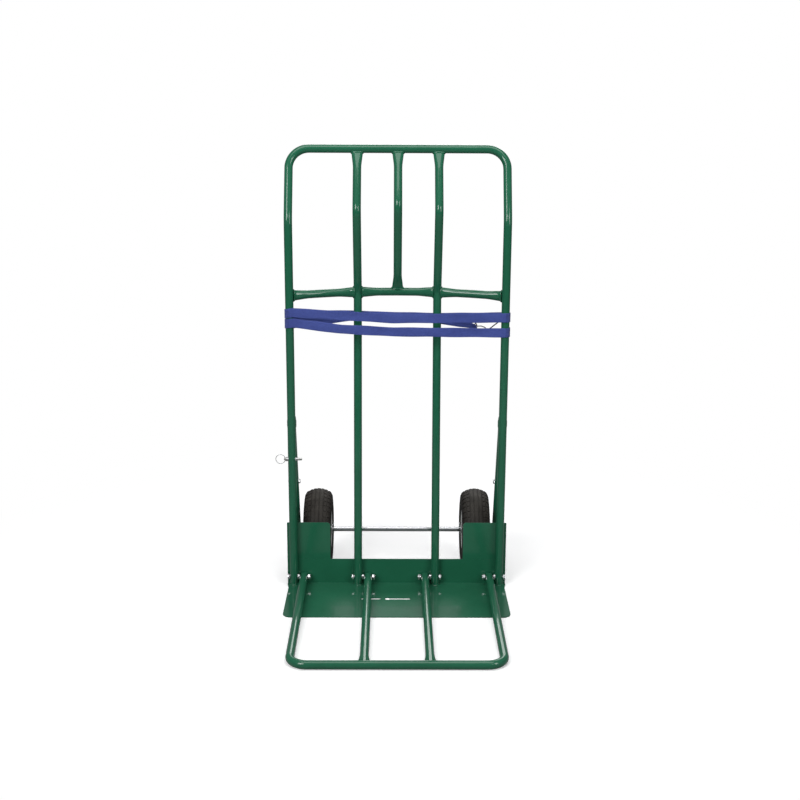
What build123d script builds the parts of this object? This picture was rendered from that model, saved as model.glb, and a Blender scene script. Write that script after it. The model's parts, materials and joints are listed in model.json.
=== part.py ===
"""Upright garden cart: a tubular hand truck with a fold-down nose frame.

The origin is on the underside of the toe plate, below the centre plane of the main
tubes. X runs from the cart's left side to its right, -Y towards the nose, +Z up.
"""
from build123d import *
import math
import os

os.makedirs("parts", exist_ok=True)

# ---------------------------------------------------------------- driving dimensions
tube_r = 12.5                 # every frame tube is 25 mm across
tube_wall = 1.5
tube_span = 20.0              # half length of a hole drilled right across a tube
gap = 0.05                    # clearance of a coped tube end, or of a fitted pin
weld_gap = 0.8                # left for the weld where a cross bar's end meets an upright

main_x = 325.0                # centre planes of the two main tubes
kink_z = 1155.0               # above this height the main tubes lean back
handle_y = 78.0
handle_z = 1356.0
kink_bend_r = 100.0
handle_bend_r = 60.0

inner_x = 121.7               # inner uprights and side grid bars
cross_z = 926.5
cross_bow = 92.0              # the cross bar is bowed backwards to cradle round loads
upright_bend_z = 95.0
grid_kink_y = -8.0
grid_side_kink_z = 1180.0
grid_mid_kink_z = 1195.0
small_bend_r = 40.0

sheet = 3.0                   # toe plate and wheel guards
plate_half_w = 341.0
back_half_w = 346.0
toe_depth = 251.0
toe_corner_r = 25.0
back_height = 83.0
guard_inner_x = 209.5
guard_top_z = 204.5
guard_corner_r = 10.0
tube_foot_z = sheet + 1.1

slot_y = -114.5
slot_width = 12.0
strap_slot_ends = (-110.0, -48.0)
key_slot_ends = (-37.0, 44.0)
key_hole_r = 9.0

wheel_r = 133.25
wheel_y = 153.2
wheel_x = 254.5
tyre_half_w = 45.0
hub_half_len = 42.0
axle_r = 8.0
axle_end_x = 344.0
stay_top_y = 9.0
stay_top_z = 545.0
stay_tail = 20.0              # stay below the axle
stay_bolt_up = 195.0          # stay bolt above the axle, along the stay
brace_height = 34.0
brace_thick = 5.0

pivot_y = -1.0
pivot_z = 29.0
bolt_r = 5.0
nose_x = 294.0
nose_bar_x = 90.2
nose_reach = 585.0
nose_bend_r = 48.0
bush_r = 6.5

pin_side = "left"
pin_z = 417.0
pin_r = 4.0
pin_sleeve_r = 6.0
pin_tip_x = -294.0
ring_r = 14.5
ring_wire_r = 0.9
ring_pivot_x = -346.0

strap_width = 28.0
strap_thick = 1.6
strap_gap = 0.7
upper_turn_z = 864.0
lower_turn_z = 824.0
turn_tilt = 1.3               # degrees, the left end of each turn sits higher

# ---------------------------------------------------------------- worked-out places
wheel_z = wheel_r
back_y = tube_r + gap         # front face of the toe plate's upright flange
cross_bow_r = (main_x ** 2 + cross_bow ** 2) / (2 * cross_bow)
cross_y_at_inner = cross_bow - cross_bow_r + math.sqrt(cross_bow_r ** 2 - inner_x ** 2)
stay_axis = (Vector(0, wheel_y, wheel_z) - Vector(0, stay_top_y, stay_top_z)).normalized()
nose_slope = math.degrees(math.asin((pivot_z - tube_r) / nose_reach))
nose_plane = Plane((0, pivot_y, pivot_z)).rotated((nose_slope, 0, 0))
sides = ((-1, "left"), (1, "right"))


def save(piece, name):
    """Label a finished piece and write it as its own STEP file."""
    piece.label = name
    export_step(piece, f"parts/{name}.step")


def largest(part):
    """The piece that is left once offcuts inside a neighbouring tube are dropped."""
    return max(part.solids(), key=lambda solid: solid.volume)


def x_rod(radius, x_from, x_to, y, z, mode=Mode.ADD):
    """Add or cut a round rod along X in the part being built."""
    with BuildSketch(Plane.YZ.offset(min(x_from, x_to))) as section:
        with Locations((y, z)):
            Circle(radius)
    extrude(section.sketch, amount=abs(x_to - x_from), mode=mode)


def x_ring(outer_r, inner_r, x_from, x_to, y, z):
    """Add a flat-ended ring around a line along X."""
    with BuildSketch(Plane.YZ.offset(min(x_from, x_to))) as section:
        with Locations((y, z)):
            Circle(outer_r)
            Circle(inner_r, mode=Mode.SUBTRACT)
    extrude(section.sketch, amount=abs(x_to - x_from))


def x_hexagon(across_flats, x_from, x_to, y, z, bore_r=0.0):
    """Add a hexagonal bolt head, or a nut where bore_r is given, along X."""
    with BuildSketch(Plane.YZ.offset(min(x_from, x_to))) as section:
        with Locations((y, z)):
            RegularPolygon(across_flats / 2, 6, major_radius=False)
            if bore_r:
                Circle(bore_r, mode=Mode.SUBTRACT)
    extrude(section.sketch, amount=abs(x_to - x_from))


def swept_tube(route, radius, wall):
    """Sweep a round section along a route; a wall of zero leaves it solid."""
    with BuildPart() as tube:
        with BuildSketch(route ^ 0) as section:
            Circle(radius)
            if wall:
                Circle(radius - wall, mode=Mode.SUBTRACT)
        sweep(section.sketch, path=route)
    return tube.part


def bent_tube(points, radii, radius=tube_r, wall=tube_wall):
    """A tube of straight runs joined by tangent bends."""
    with BuildLine() as route:
        if radii:
            FilletPolyline(*points, radius=radii)
        else:
            Line(*points)
    return swept_tube(route.wire(), radius, wall)


def bowed_bar(radius, wall):
    """The cross bar's full arc, still reaching the centre lines of the main tubes."""
    with BuildLine() as route:
        ThreePointArc((-main_x, 0, cross_z), (0, cross_bow, cross_z), (main_x, 0, cross_z))
    return swept_tube(route.wire(), radius, wall)


# ---------------------------------------------------------------- bodies used only to cut
cope_r = tube_r + gap
cross_bar_cope = bowed_bar(cope_r, 0)
with BuildPart() as main_tube_cope:
    with BuildSketch(Plane.XY) as feet:
        with Locations((-main_x, 0), (main_x, 0)):
            Circle(cope_r)
    extrude(feet.sketch, amount=kink_z - kink_bend_r)

# ---------------------------------------------------------------- frame: main hoop
# one bent tube on the real cart, held here as its runs and bends, which meet face to face
lean = (Vector(0, handle_y, handle_z) - Vector(0, 0, kink_z)).normalized()
lean_end = Vector(0, handle_y, handle_z) - lean * handle_bend_r
bar_end_x = main_x - handle_bend_r
for side, word in sides:
    x = side * main_x
    with BuildPart() as main_tube:
        add(bent_tube([(x, 0, tube_foot_z), (x, 0, kink_z), (x, lean_end.Y, lean_end.Z)], [kink_bend_r]))
        x_rod(bolt_r + gap, x - tube_span, x + tube_span, pivot_y, pivot_z, Mode.SUBTRACT)
        if word == pin_side:
            x_rod(pin_sleeve_r + gap, x - tube_span, x + tube_span, pivot_y, pin_z, Mode.SUBTRACT)
    save(main_tube.part, f"main_tube_{word}")

    with BuildLine() as corner:
        TangentArc((x, lean_end.Y, lean_end.Z), (side * bar_end_x, handle_y, handle_z), tangent=lean)
    save(swept_tube(corner.wire(), tube_r, tube_wall), f"handle_bend_{word}")

save(bent_tube([(-bar_end_x, handle_y, handle_z), (bar_end_x, handle_y, handle_z)], None), "handle_bar")

# ---------------------------------------------------------------- frame: bars inside the hoop
upright_corner_y = cross_y_at_inner + 0.94  # the bend runs inside its corner, through the cross bar
uprights_cope = []
for side, word in sides:
    x = side * inner_x
    upright_points = [
        (x, 0, tube_foot_z),
        (x, 0, upright_bend_z),
        (x, upright_corner_y, cross_z),
        (x, grid_kink_y, grid_side_kink_z),
        (x, handle_y, handle_z),
    ]
    upright_radii = [small_bend_r, small_bend_r, small_bend_r]
    with BuildPart() as inner_upright:
        add(bent_tube(upright_points, upright_radii))
        x_rod(bolt_r + gap, x - tube_span, x + tube_span, pivot_y, pivot_z, Mode.SUBTRACT)
        x_rod(cope_r, -main_x, main_x, handle_y, handle_z, Mode.SUBTRACT)
    save(largest(inner_upright.part), f"inner_upright_{word}")
    uprights_cope.append(bent_tube(upright_points, upright_radii, tube_r + weld_gap, 0))

with BuildPart() as cross_bars:
    add(bowed_bar(tube_r, tube_wall))
    add(main_tube_cope.part, mode=Mode.SUBTRACT)
    for upright_cope in uprights_cope:
        add(upright_cope, mode=Mode.SUBTRACT)
    with Locations((0, cross_bow / 2, cross_z)):
        Box(2 * main_x, 2 * cross_bow, 4 * tube_r, mode=Mode.INTERSECT)
bar_spans = cross_bars.solids().sort_by(SortBy.VOLUME)[-3:].sort_by(Axis.X)
for bar_span, word in zip(bar_spans, ("left", "centre", "right")):
    save(bar_span, f"cross_bar_{word}")

with BuildPart() as grid_bar:
    add(bent_tube(
        [(0, cross_bow, cross_z), (0, grid_kink_y, grid_mid_kink_z), (0, handle_y, handle_z)],
        [small_bend_r],
    ))
    split(bisect_by=Plane.XY.offset(cross_z), keep=Keep.TOP)
    add(cross_bar_cope, mode=Mode.SUBTRACT)
    x_rod(cope_r, -main_x, main_x, handle_y, handle_z, Mode.SUBTRACT)
save(largest(grid_bar.part), "grid_bar_centre")

# ---------------------------------------------------------------- frame: toe plate and guards
with BuildPart() as toe_plate:
    with BuildSketch(Plane.XY):
        with BuildLine():
            Polyline(
                (-back_half_w, back_y + sheet),
                (-back_half_w, 0),
                (-plate_half_w, -toe_corner_r),
                (-plate_half_w, -toe_depth),
                (plate_half_w, -toe_depth),
                (plate_half_w, -toe_corner_r),
                (back_half_w, 0),
                (back_half_w, back_y + sheet),
                close=True,
            )
        make_face()
    extrude(amount=sheet)
    front_corners = toe_plate.edges().filter_by(Axis.Z).group_by(Axis.Y)[0]
    fillet(front_corners, toe_corner_r)
    with BuildSketch(Plane.XZ.offset(-back_y)):
        with Locations((0, back_height / 2)):
            Rectangle(2 * back_half_w, back_height)
    extrude(amount=-sheet)
    heel = toe_plate.edges().filter_by(Axis.X).group_by(Axis.Z)[0].sort_by(Axis.Y)[-1]
    fillet(heel, sheet - 0.5)
    with BuildSketch(Plane.XY):
        for left_end, right_end in (strap_slot_ends, key_slot_ends):
            with Locations(((left_end + right_end) / 2, slot_y)):
                SlotOverall(right_end - left_end, slot_width)
        with Locations((key_slot_ends[0] + key_hole_r, slot_y)):
            Circle(key_hole_r)
    extrude(amount=sheet, mode=Mode.SUBTRACT)
save(toe_plate.part, "toe_plate")

for side, word in sides:
    guard_width = back_half_w - guard_inner_x
    guard_height = guard_top_z - back_height - gap
    with BuildPart() as guard:
        with BuildSketch(Plane.XZ.offset(-back_y)):
            with Locations((side * (back_half_w + guard_inner_x) / 2, guard_top_z - guard_height / 2)):
                Rectangle(guard_width, guard_height)
        extrude(amount=-sheet)
        top_corners = guard.edges().filter_by(Axis.Y).group_by(Axis.Z)[-1].sort_by(Axis.X)
        fillet(top_corners[-1 if side < 0 else 0], guard_corner_r)
        fillet(guard.edges().filter_by(Axis.Y).group_by(Axis.Z)[-1].sort_by(Axis.X)[0 if side < 0 else -1], sheet)
    save(guard.part, f"wheel_guard_{word}")

# ---------------------------------------------------------------- frame: stays, braces and axle
axle_point = Vector(0, wheel_y, wheel_z)
stay_foot = axle_point + stay_axis * stay_tail
stay_bolt_at = axle_point - stay_axis * stay_bolt_up
stay_bolt_r = 4.0
for side, word in sides:
    x = side * main_x
    with BuildPart() as stay:
        add(bent_tube([(x, stay_top_y, stay_top_z), (x, stay_foot.Y, stay_foot.Z)], None))
        add(main_tube_cope.part, mode=Mode.SUBTRACT)
        x_rod(axle_r + gap, x - tube_span, x + tube_span, wheel_y, wheel_z, Mode.SUBTRACT)
        x_rod(stay_bolt_r + gap, x - tube_span, x + tube_span, stay_bolt_at.Y, stay_bolt_at.Z, Mode.SUBTRACT)
    save(largest(stay.part), f"stay_{word}")

    with BuildPart() as stay_envelope:
        add(bent_tube([(x, stay_top_y, stay_top_z), (x, stay_foot.Y, stay_foot.Z)], None, cope_r, 0))
    with BuildPart() as brace:
        with BuildSketch(Plane.YZ.offset(x - brace_thick / 2)):
            with Locations((wheel_y / 2, wheel_z)):
                Rectangle(wheel_y - 2 * (back_y + sheet + gap), brace_height)
        extrude(amount=brace_thick)
        add(stay_envelope.part, mode=Mode.SUBTRACT)
    save(largest(brace.part), f"axle_brace_{word}")

split_pin_r = 1.5
split_pin_x = 206.0
split_pin_len = 32.0
split_pin_eye_r = 3.5
side_play = 0.3               # between a fastener's face and the tube or hub beside it
with BuildPart() as axle:
    x_rod(axle_r, -axle_end_x, axle_end_x, wheel_y, wheel_z)
    chamfer(axle.edges().filter_by(GeomType.CIRCLE), 1)
    with BuildSketch(Plane.XY.offset(wheel_z - tube_span)):
        with Locations((-split_pin_x, wheel_y), (split_pin_x, wheel_y)):
            Circle(split_pin_r + 0.1)
    extrude(amount=2 * tube_span, mode=Mode.SUBTRACT)
save(axle.part, "axle")

washer_r = 15.0
washer_thick = 2.5
with BuildPart() as axle_washers:
    for side, word in sides:
        near = side * (wheel_x - hub_half_len - 2 * side_play)
        x_ring(washer_r, axle_r + side_play, near, near - side * washer_thick, wheel_y, wheel_z)
save(axle_washers.part, "axle_washers")

axle_spacer_r = 12.0
with BuildPart() as axle_spacers:
    for side, word in sides:
        near = side * (wheel_x + hub_half_len + 2 * side_play)
        x_ring(axle_spacer_r, axle_r + side_play, near, side * (main_x - tube_r - side_play), wheel_y, wheel_z)
save(axle_spacers.part, "axle_spacers")

with BuildPart() as split_pins:
    for side, word in sides:
        with Locations((side * split_pin_x, wheel_y, wheel_z)):
            Cylinder(split_pin_r, split_pin_len)
        eye_z = wheel_z + split_pin_len / 2 + split_pin_eye_r - 1
        with Locations(Location((side * split_pin_x, wheel_y, eye_z), (0, 90, 0))):
            Torus(split_pin_eye_r, split_pin_r)
save(split_pins.part, "split_pins")

stay_hex = 13.0
stay_head = 4.5
stay_nut = 6.5
bolt_proud = 1.2              # thread showing past a nut
with BuildPart() as stay_bolts:
    for side, word in sides:
        y, z = stay_bolt_at.Y, stay_bolt_at.Z
        inner_face = side * (main_x - tube_r - side_play)
        x_rod(stay_bolt_r, inner_face, side * (main_x + tube_r + side_play + stay_nut + bolt_proud), y, z)
        x_hexagon(stay_hex, inner_face, inner_face - side * stay_head, y, z)
save(stay_bolts.part, "stay_bolts")

with BuildPart() as stay_nuts:
    for side, word in sides:
        y, z = stay_bolt_at.Y, stay_bolt_at.Z
        outer_face = side * (main_x + tube_r + side_play)
        x_hexagon(stay_hex, outer_face, outer_face + side * stay_nut, y, z, stay_bolt_r + gap)
save(stay_nuts.part, "stay_nuts")

plug_head = 3.0
plug_shank = 6.0
with BuildPart() as stay_plugs:
    for side, word in sides:
        plug_plane = Plane((side * main_x, stay_foot.Y, stay_foot.Z), x_dir=(1, 0, 0), z_dir=stay_axis)
        with BuildSketch(plug_plane.offset(gap)):
            Circle(tube_r)
        extrude(amount=plug_head)
        with BuildSketch(plug_plane.offset(gap)):
            Circle(tube_r - tube_wall - side_play)
        extrude(amount=-plug_shank)
save(stay_plugs.part, "stay_plugs")

# ---------------------------------------------------------------- nose pivots
# each pivot: main-side tube, its spacer, the nose tube, then the nut on the inboard side
pivot_rows = [(side * main_x, side * nose_x) for side, word in sides]
pivot_rows += [(side * inner_x, side * nose_bar_x) for side, word in sides]
pivot_hex = 17.0
pivot_head = 6.5
pivot_nut = 8.0
nose_play = 0.9               # each side of a nose tube, beside its spacer and its nut
with BuildPart() as pivot_bolts:
    for fixed_x, moving_x in pivot_rows:
        side = math.copysign(1, fixed_x)
        head_face = fixed_x + side * (tube_r + side_play)
        bolt_end = moving_x - side * (tube_r + nose_play + pivot_nut + 2 * bolt_proud)
        x_rod(bolt_r, head_face, bolt_end, pivot_y, pivot_z)
        x_hexagon(pivot_hex, head_face, head_face + side * pivot_head, pivot_y, pivot_z)
save(pivot_bolts.part, "pivot_bolts")

with BuildPart() as pivot_nuts:
    for fixed_x, moving_x in pivot_rows:
        side = math.copysign(1, fixed_x)
        nut_face = moving_x - side * (tube_r + nose_play)
        x_hexagon(pivot_hex, nut_face, nut_face - side * pivot_nut, pivot_y, pivot_z, bolt_r + gap)
save(pivot_nuts.part, "pivot_nuts")

pivot_spacer_r = 9.0
with BuildPart() as pivot_spacers:
    for fixed_x, moving_x in pivot_rows:
        side = math.copysign(1, fixed_x)
        fixed_face = fixed_x - side * (tube_r + 2 * gap)
        moving_face = moving_x + side * (tube_r + nose_play)
        x_ring(pivot_spacer_r, bolt_r + gap, fixed_face, moving_face, pivot_y, pivot_z)
save(pivot_spacers.part, "pivot_spacers")

# ---------------------------------------------------------------- nose frame
def nose_point(x, forward):
    """A point of the nose frame's centre plane, measured forward from the pivots."""
    return nose_plane.from_local_coords(Vector(x, -forward, 0))


# everything behind the pivots but a half-round tail, which clears the toe plate as it turns
with BuildPart() as tail_trim:
    with BuildSketch(nose_plane.offset(-2 * tube_r)):
        with Locations((0, 2 * tube_r)):
            Rectangle(3 * main_x, 4 * tube_r)
    extrude(amount=4 * tube_r)
    x_rod(tube_r, -2 * main_x, 2 * main_x, pivot_y, pivot_z, Mode.SUBTRACT)

nose_path = [
    nose_point(-nose_x, -tube_r),
    nose_point(-nose_x, nose_reach),
    nose_point(nose_x, nose_reach),
    nose_point(nose_x, -tube_r),
]
pin_hole_r = 4.8
pin_hole_at = nose_point(0, pin_z - pivot_z)
with BuildPart() as nose_hoop:
    add(bent_tube(nose_path, [nose_bend_r, nose_bend_r]))
    add(tail_trim.part, mode=Mode.SUBTRACT)
    for side, word in sides:
        x_rod(bush_r + gap, side * nose_x - tube_span, side * nose_x + tube_span, pivot_y, pivot_z, Mode.SUBTRACT)
    x_rod(pin_hole_r, -nose_x - tube_span, -nose_x, pin_hole_at.Y, pin_hole_at.Z, Mode.SUBTRACT)
save(largest(nose_hoop.part), "nose_hoop")

nose_front = nose_point(0, nose_reach)
for side, word in sides:
    x = side * nose_bar_x
    with BuildPart() as nose_bar:
        add(bent_tube([nose_point(x, -tube_r), nose_point(x, nose_reach)], None))
        add(tail_trim.part, mode=Mode.SUBTRACT)
        x_rod(bush_r + gap, x - tube_span, x + tube_span, pivot_y, pivot_z, Mode.SUBTRACT)
        x_rod(cope_r, -main_x, main_x, nose_front.Y, nose_front.Z, Mode.SUBTRACT)
    save(largest(nose_bar.part), f"nose_bar_{word}")

with BuildPart() as nose_bushes:
    for side, word in sides:
        for x in (side * nose_x, side * nose_bar_x):
            x_ring(bush_r, bolt_r + gap, x - tube_r - 4 * gap, x + tube_r + 4 * gap, pivot_y, pivot_z)
save(nose_bushes.part, "nose_bushes")

# ---------------------------------------------------------------- lock pin and its ring
sleeve_out = 1.2              # sleeve standing out of the tube, outboard and inboard
sleeve_in = 3.0
pin_head_x = -main_x - tube_r - sleeve_out - side_play
pin_head_len = 6.0
pin_head_r = 6.5
tab_thick = 5.0
tab_width = 8.0
tab_past_ring = 3.5
ring_hole_r = 1.6
with BuildPart() as pin_sleeve:
    sleeve_ends = (-main_x - tube_r - sleeve_out, -main_x + tube_r + sleeve_in)
    x_ring(pin_sleeve_r, pin_r + gap, *sleeve_ends, pivot_y, pin_z)
save(pin_sleeve.part, "pin_sleeve")

with BuildPart() as lock_pin:
    x_rod(pin_r, pin_head_x, pin_tip_x, pivot_y, pin_z)
    chamfer(lock_pin.edges().sort_by(Axis.X)[-1], 1.2)
    x_rod(pin_head_r, pin_head_x - pin_head_len, pin_head_x, pivot_y, pin_z)
    tab_end_x = ring_pivot_x - tab_past_ring
    with BuildSketch(Plane.YZ.offset(tab_end_x)):
        with Locations((pivot_y, pin_z)):
            Rectangle(tab_width, tab_thick)
    extrude(amount=pin_head_x - pin_head_len - tab_end_x)
    with Locations((ring_pivot_x, pivot_y, pin_z)):
        Cylinder(ring_hole_r, 2 * tab_thick, mode=Mode.SUBTRACT)
save(lock_pin.part, "lock_pin")

with BuildPart() as pin_ring:
    with Locations(Location((ring_pivot_x - ring_r, pivot_y, pin_z), (90, 0, 0))):
        Torus(ring_r, ring_wire_r)
save(pin_ring.part, "pin_ring")

# ---------------------------------------------------------------- wheels
rim_sheet = 2.0
hub_r = 20.0
rim_disc_r = 38.0
bearing_r = 17.5
bearing_width = 11.0
cage_outer_r = 14.5
cage_inner_r = 11.0
rim_bolt_circle_r = 29.0
rim_bolt_count = 4
rim_bolt_r = 3.0
rim_hex = 10.0
rim_head = 4.0
rim_nut = 5.0
rim_grip = 2.4                # half the thickness that a rim bolt clamps
valve_at_r = 41.0
valve_r = 2.8
valve_cap_r = 3.8
axle_tube_r = 12.0            # inside of the hub's middle wall


def wheel_plane(x):
    """A sketch plane through the axle: local x runs along +X, local y is the radius."""
    return Plane((x, wheel_y, wheel_z), x_dir=(1, 0, 0), z_dir=(0, -1, 0))


def revolve_about_axle(section, x):
    """Turn a section on the wheel plane into a ring about the axle."""
    revolve(section.sketch, axis=Axis((x, wheel_y, wheel_z), (1, 0, 0)))


def around_axle(radius, count):
    """Places (y, z) spread evenly round the axle, the first halfway up at the back."""
    return [
        (wheel_y + radius * math.cos(turn), wheel_z + radius * math.sin(turn))
        for turn in (math.radians(45 + 360 * step / count) for step in range(count))
    ]


def save_tyre(x, word):
    """A hollow tyre with a broad crown and two beads, and the tube inside it."""
    with BuildPart() as tyre:
        with BuildSketch(wheel_plane(x)) as section:
            with BuildLine():
                crown = TangentArc((0, wheel_r), (36, wheel_r - 13), tangent=(1, 0))
                shoulder = ThreePointArc(crown @ 1, (tyre_half_w, 95), (34, 63))
                bead = Polyline(shoulder @ 1, (34, 53), (24, 53), (25, 62))
                ThreePointArc(bead @ 1, (tyre_half_w - 6, 95), (30, wheel_r - 17))
                TangentArc((0, wheel_r - 9), (30, wheel_r - 17), tangent=(1, 0))
                Line((0, wheel_r - 9), (0, wheel_r))
            make_face()
            mirror(about=Plane.YZ)
        revolve_about_axle(section, x)
    save(tyre.part, f"{word}_tyre")

    with BuildPart() as inner_tube:
        with BuildSketch(wheel_plane(x)) as section:
            with Locations((0, 90)):
                Circle(31)
                Circle(29, mode=Mode.SUBTRACT)
        revolve_about_axle(section, x)
    save(inner_tube.part, f"{word}_inner_tube")


def save_rim_half(x, face, name):
    """One pressed half of the rim; face is +1 where it dishes towards +X."""
    with BuildPart() as rim_half:
        with BuildSketch(wheel_plane(x)) as section:
            with BuildLine():
                Polyline(
                    (face * 0.1, hub_r + gap),
                    (face * 0.1, rim_disc_r),
                    (face * 18, 46),
                    (face * 35, 50),
                    (face * 35, 61),
                    (face * 39, 65),
                    (face * 40.5, 63.5),
                    (face * 37.2, 60),
                    (face * 37.2, 48),
                    (face * 19, 43.8),
                    (face * 2.1, 36.5),
                    (face * 2.1, hub_r + gap),
                    close=True,
                )
            make_face()
        revolve_about_axle(section, x)
        for y, z in around_axle(rim_bolt_circle_r, rim_bolt_count):
            x_rod(rim_bolt_r + 0.2, x - 10, x + 10, y, z, Mode.SUBTRACT)
        if name.endswith("outer"):
            x_rod(valve_r + 0.3, x, x + face * 60, wheel_y, wheel_z + valve_at_r, Mode.SUBTRACT)
    save(rim_half.part, name)


for side, word in sides:
    x = side * wheel_x
    save_tyre(x, word)
    save_rim_half(x, side, f"{word}_rim_outer")
    save_rim_half(x, -side, f"{word}_rim_inner")

    with BuildPart() as hub:
        x_ring(hub_r, bearing_r + gap, x - hub_half_len, x + hub_half_len, wheel_y, wheel_z)
        x_ring(bearing_r + 1, axle_tube_r, x - 28, x + 28, wheel_y, wheel_z)
    save(hub.part, f"{word}_hub")

    with BuildPart() as bearings:
        for end in (-1, 1):
            outer_face = x + end * hub_half_len
            inner_face = outer_face - end * bearing_width
            x_ring(bearing_r, cage_outer_r, inner_face, outer_face, wheel_y, wheel_z)
            x_ring(cage_outer_r - 4 * gap, cage_inner_r + 4 * gap, inner_face + end, outer_face - end, wheel_y, wheel_z)
            x_ring(cage_inner_r, axle_r + gap, inner_face, outer_face, wheel_y, wheel_z)
    save(bearings.part, f"{word}_bearings")

    with BuildPart() as rim_bolts:
        for y, z in around_axle(rim_bolt_circle_r, rim_bolt_count):
            x_rod(rim_bolt_r, x - side * (rim_grip + rim_nut + 3 * bolt_proud), x + side * rim_grip, y, z)
            x_hexagon(rim_hex, x + side * rim_grip, x + side * (rim_grip + rim_head), y, z)
    save(rim_bolts.part, f"{word}_rim_bolts")

    with BuildPart() as rim_nuts:
        for y, z in around_axle(rim_bolt_circle_r, rim_bolt_count):
            x_hexagon(rim_hex, x - side * rim_grip, x - side * (rim_grip + rim_nut), y, z, rim_bolt_r + gap)
    save(rim_nuts.part, f"{word}_rim_nuts")

    with BuildPart() as valve:
        valve_z = wheel_z + valve_at_r
        x_rod(valve_r, x + side * 3, x + side * 33, wheel_y, valve_z)
        x_rod(valve_cap_r, x + side * 26, x + side * 35, wheel_y, valve_z)
    save(valve.part, f"{word}_valve")

# ---------------------------------------------------------------- strap
upright_lean = upright_corner_y / (cross_z - upright_bend_z)


def save_strap_turn(centre_z, name):
    """One turn of webbing pulled tight round the main tubes and the inner uprights."""
    highest_z = centre_z + strap_width / 2 + inner_x * math.sin(math.radians(turn_tilt))
    upright_y = upright_lean * (highest_z - upright_bend_z)
    tube_places = ((-main_x, 0), (main_x, 0), (-inner_x, upright_y), (inner_x, upright_y))
    turn_plane = Plane((0, 0, centre_z)).rotated((0, turn_tilt, 0)).offset(-strap_width / 2)
    with BuildSketch(turn_plane) as inside:
        with Locations(*tube_places):
            Circle(tube_r + strap_gap)
        make_hull()
    with BuildSketch(turn_plane) as outside:
        with Locations(*tube_places):
            Circle(tube_r + strap_gap + strap_thick)
        make_hull()
    with BuildPart() as turn:
        extrude(outside.sketch, amount=strap_width)
        extrude(inside.sketch, amount=strap_width, mode=Mode.SUBTRACT)
    save(turn.part, name)


save_strap_turn(upper_turn_z, "strap_turn_upper")
save_strap_turn(lower_turn_z, "strap_turn_lower")

hook_wire_r = 2.0
hook_slope = cross_y_at_inner / (main_x - inner_x)


def hook_point(x, z):
    """A point of a hook's wire, lying along the back of the strap's right-hand run."""
    return (x, (main_x - x) * hook_slope + hook_back, z)


hook_back = 22.0
hook_root_x = 240.0
hook_bend_x = 296.0
hook_tip_x = 280.0
hook_rise = 18.0
with BuildPart() as strap_hooks:
    for z in (lower_turn_z - 6, upper_turn_z - 6):
        hook_points = [
            hook_point(hook_root_x, z),
            hook_point(hook_bend_x, z),
            hook_point(hook_bend_x, z + hook_rise),
            hook_point(hook_tip_x, z + hook_rise),
        ]
        add(bent_tube(hook_points, [8, 6], hook_wire_r, 0))
save(strap_hooks.part, "strap_hooks")
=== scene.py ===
"""Garden cart: a tubular hand truck with a fold-down nose frame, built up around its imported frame.

Everything is in metres: X to the cart's right, -Y towards the nose, Z up, floor at zero.
"""
import json
import logging
import math
from collections.abc import Callable, Iterator
from contextlib import contextmanager
from dataclasses import dataclass, field
from enum import Enum

import bmesh
import bpy
from mathutils import Matrix, Quaternion, Vector

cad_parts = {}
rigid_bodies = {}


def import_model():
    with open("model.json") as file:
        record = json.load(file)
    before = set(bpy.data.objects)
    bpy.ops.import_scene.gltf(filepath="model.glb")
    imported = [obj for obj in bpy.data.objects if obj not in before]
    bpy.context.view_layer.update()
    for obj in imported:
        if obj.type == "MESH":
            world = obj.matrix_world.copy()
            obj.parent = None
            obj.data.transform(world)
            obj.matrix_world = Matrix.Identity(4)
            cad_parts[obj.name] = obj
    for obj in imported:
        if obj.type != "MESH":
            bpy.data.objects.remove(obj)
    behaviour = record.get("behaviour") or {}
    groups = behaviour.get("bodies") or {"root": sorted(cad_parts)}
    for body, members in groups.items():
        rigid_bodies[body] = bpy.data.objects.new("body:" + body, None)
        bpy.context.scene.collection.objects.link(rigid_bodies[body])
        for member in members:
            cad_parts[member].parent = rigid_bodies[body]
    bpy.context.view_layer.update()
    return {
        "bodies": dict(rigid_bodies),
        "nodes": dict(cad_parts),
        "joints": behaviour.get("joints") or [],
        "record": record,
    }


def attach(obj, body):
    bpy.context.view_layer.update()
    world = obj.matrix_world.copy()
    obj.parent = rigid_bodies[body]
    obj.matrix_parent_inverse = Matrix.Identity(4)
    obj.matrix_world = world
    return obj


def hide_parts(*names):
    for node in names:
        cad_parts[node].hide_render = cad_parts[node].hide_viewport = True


LOG = logging.getLogger("garden_cart")
MM = 0.001
SIDES = ((-1, "left"), (1, "right"))
RIGHTWARDS = Vector((1, 0, 0))
UPWARDS = Vector((0, 0, 1))
SHORTEST_RUN = 1e-6
BITE = 1.6 * MM
BEAD = 2.6 * MM

Colour = tuple[float, float, float, float]
Place = tuple[float, float, float]
Groups = dict[str, bpy.types.NodeTree]
Socket = bpy.types.NodeSocket
Object = bpy.types.Object


class Body(Enum):
    """The bodies that new pieces ride on."""

    FRAME = "frame"
    LEFT_WHEEL = "left_wheel"
    RIGHT_WHEEL = "right_wheel"
    NOSE = "nose_frame"


class Slot(Enum):
    """The record's material slots."""

    GREEN = "green_paint"
    RIM = "rim_paint"
    HUB = "hub_paint"
    TYRE = "tyre"
    INNER_TUBE = "inner_tube"
    CHROME = "chrome"
    ZINC = "zinc"
    PIN = "pin_steel"
    WEBBING = "webbing"
    HOOK = "hook_wire"
    PLASTIC = "black_plastic"
    VALVE = "valve"


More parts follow.
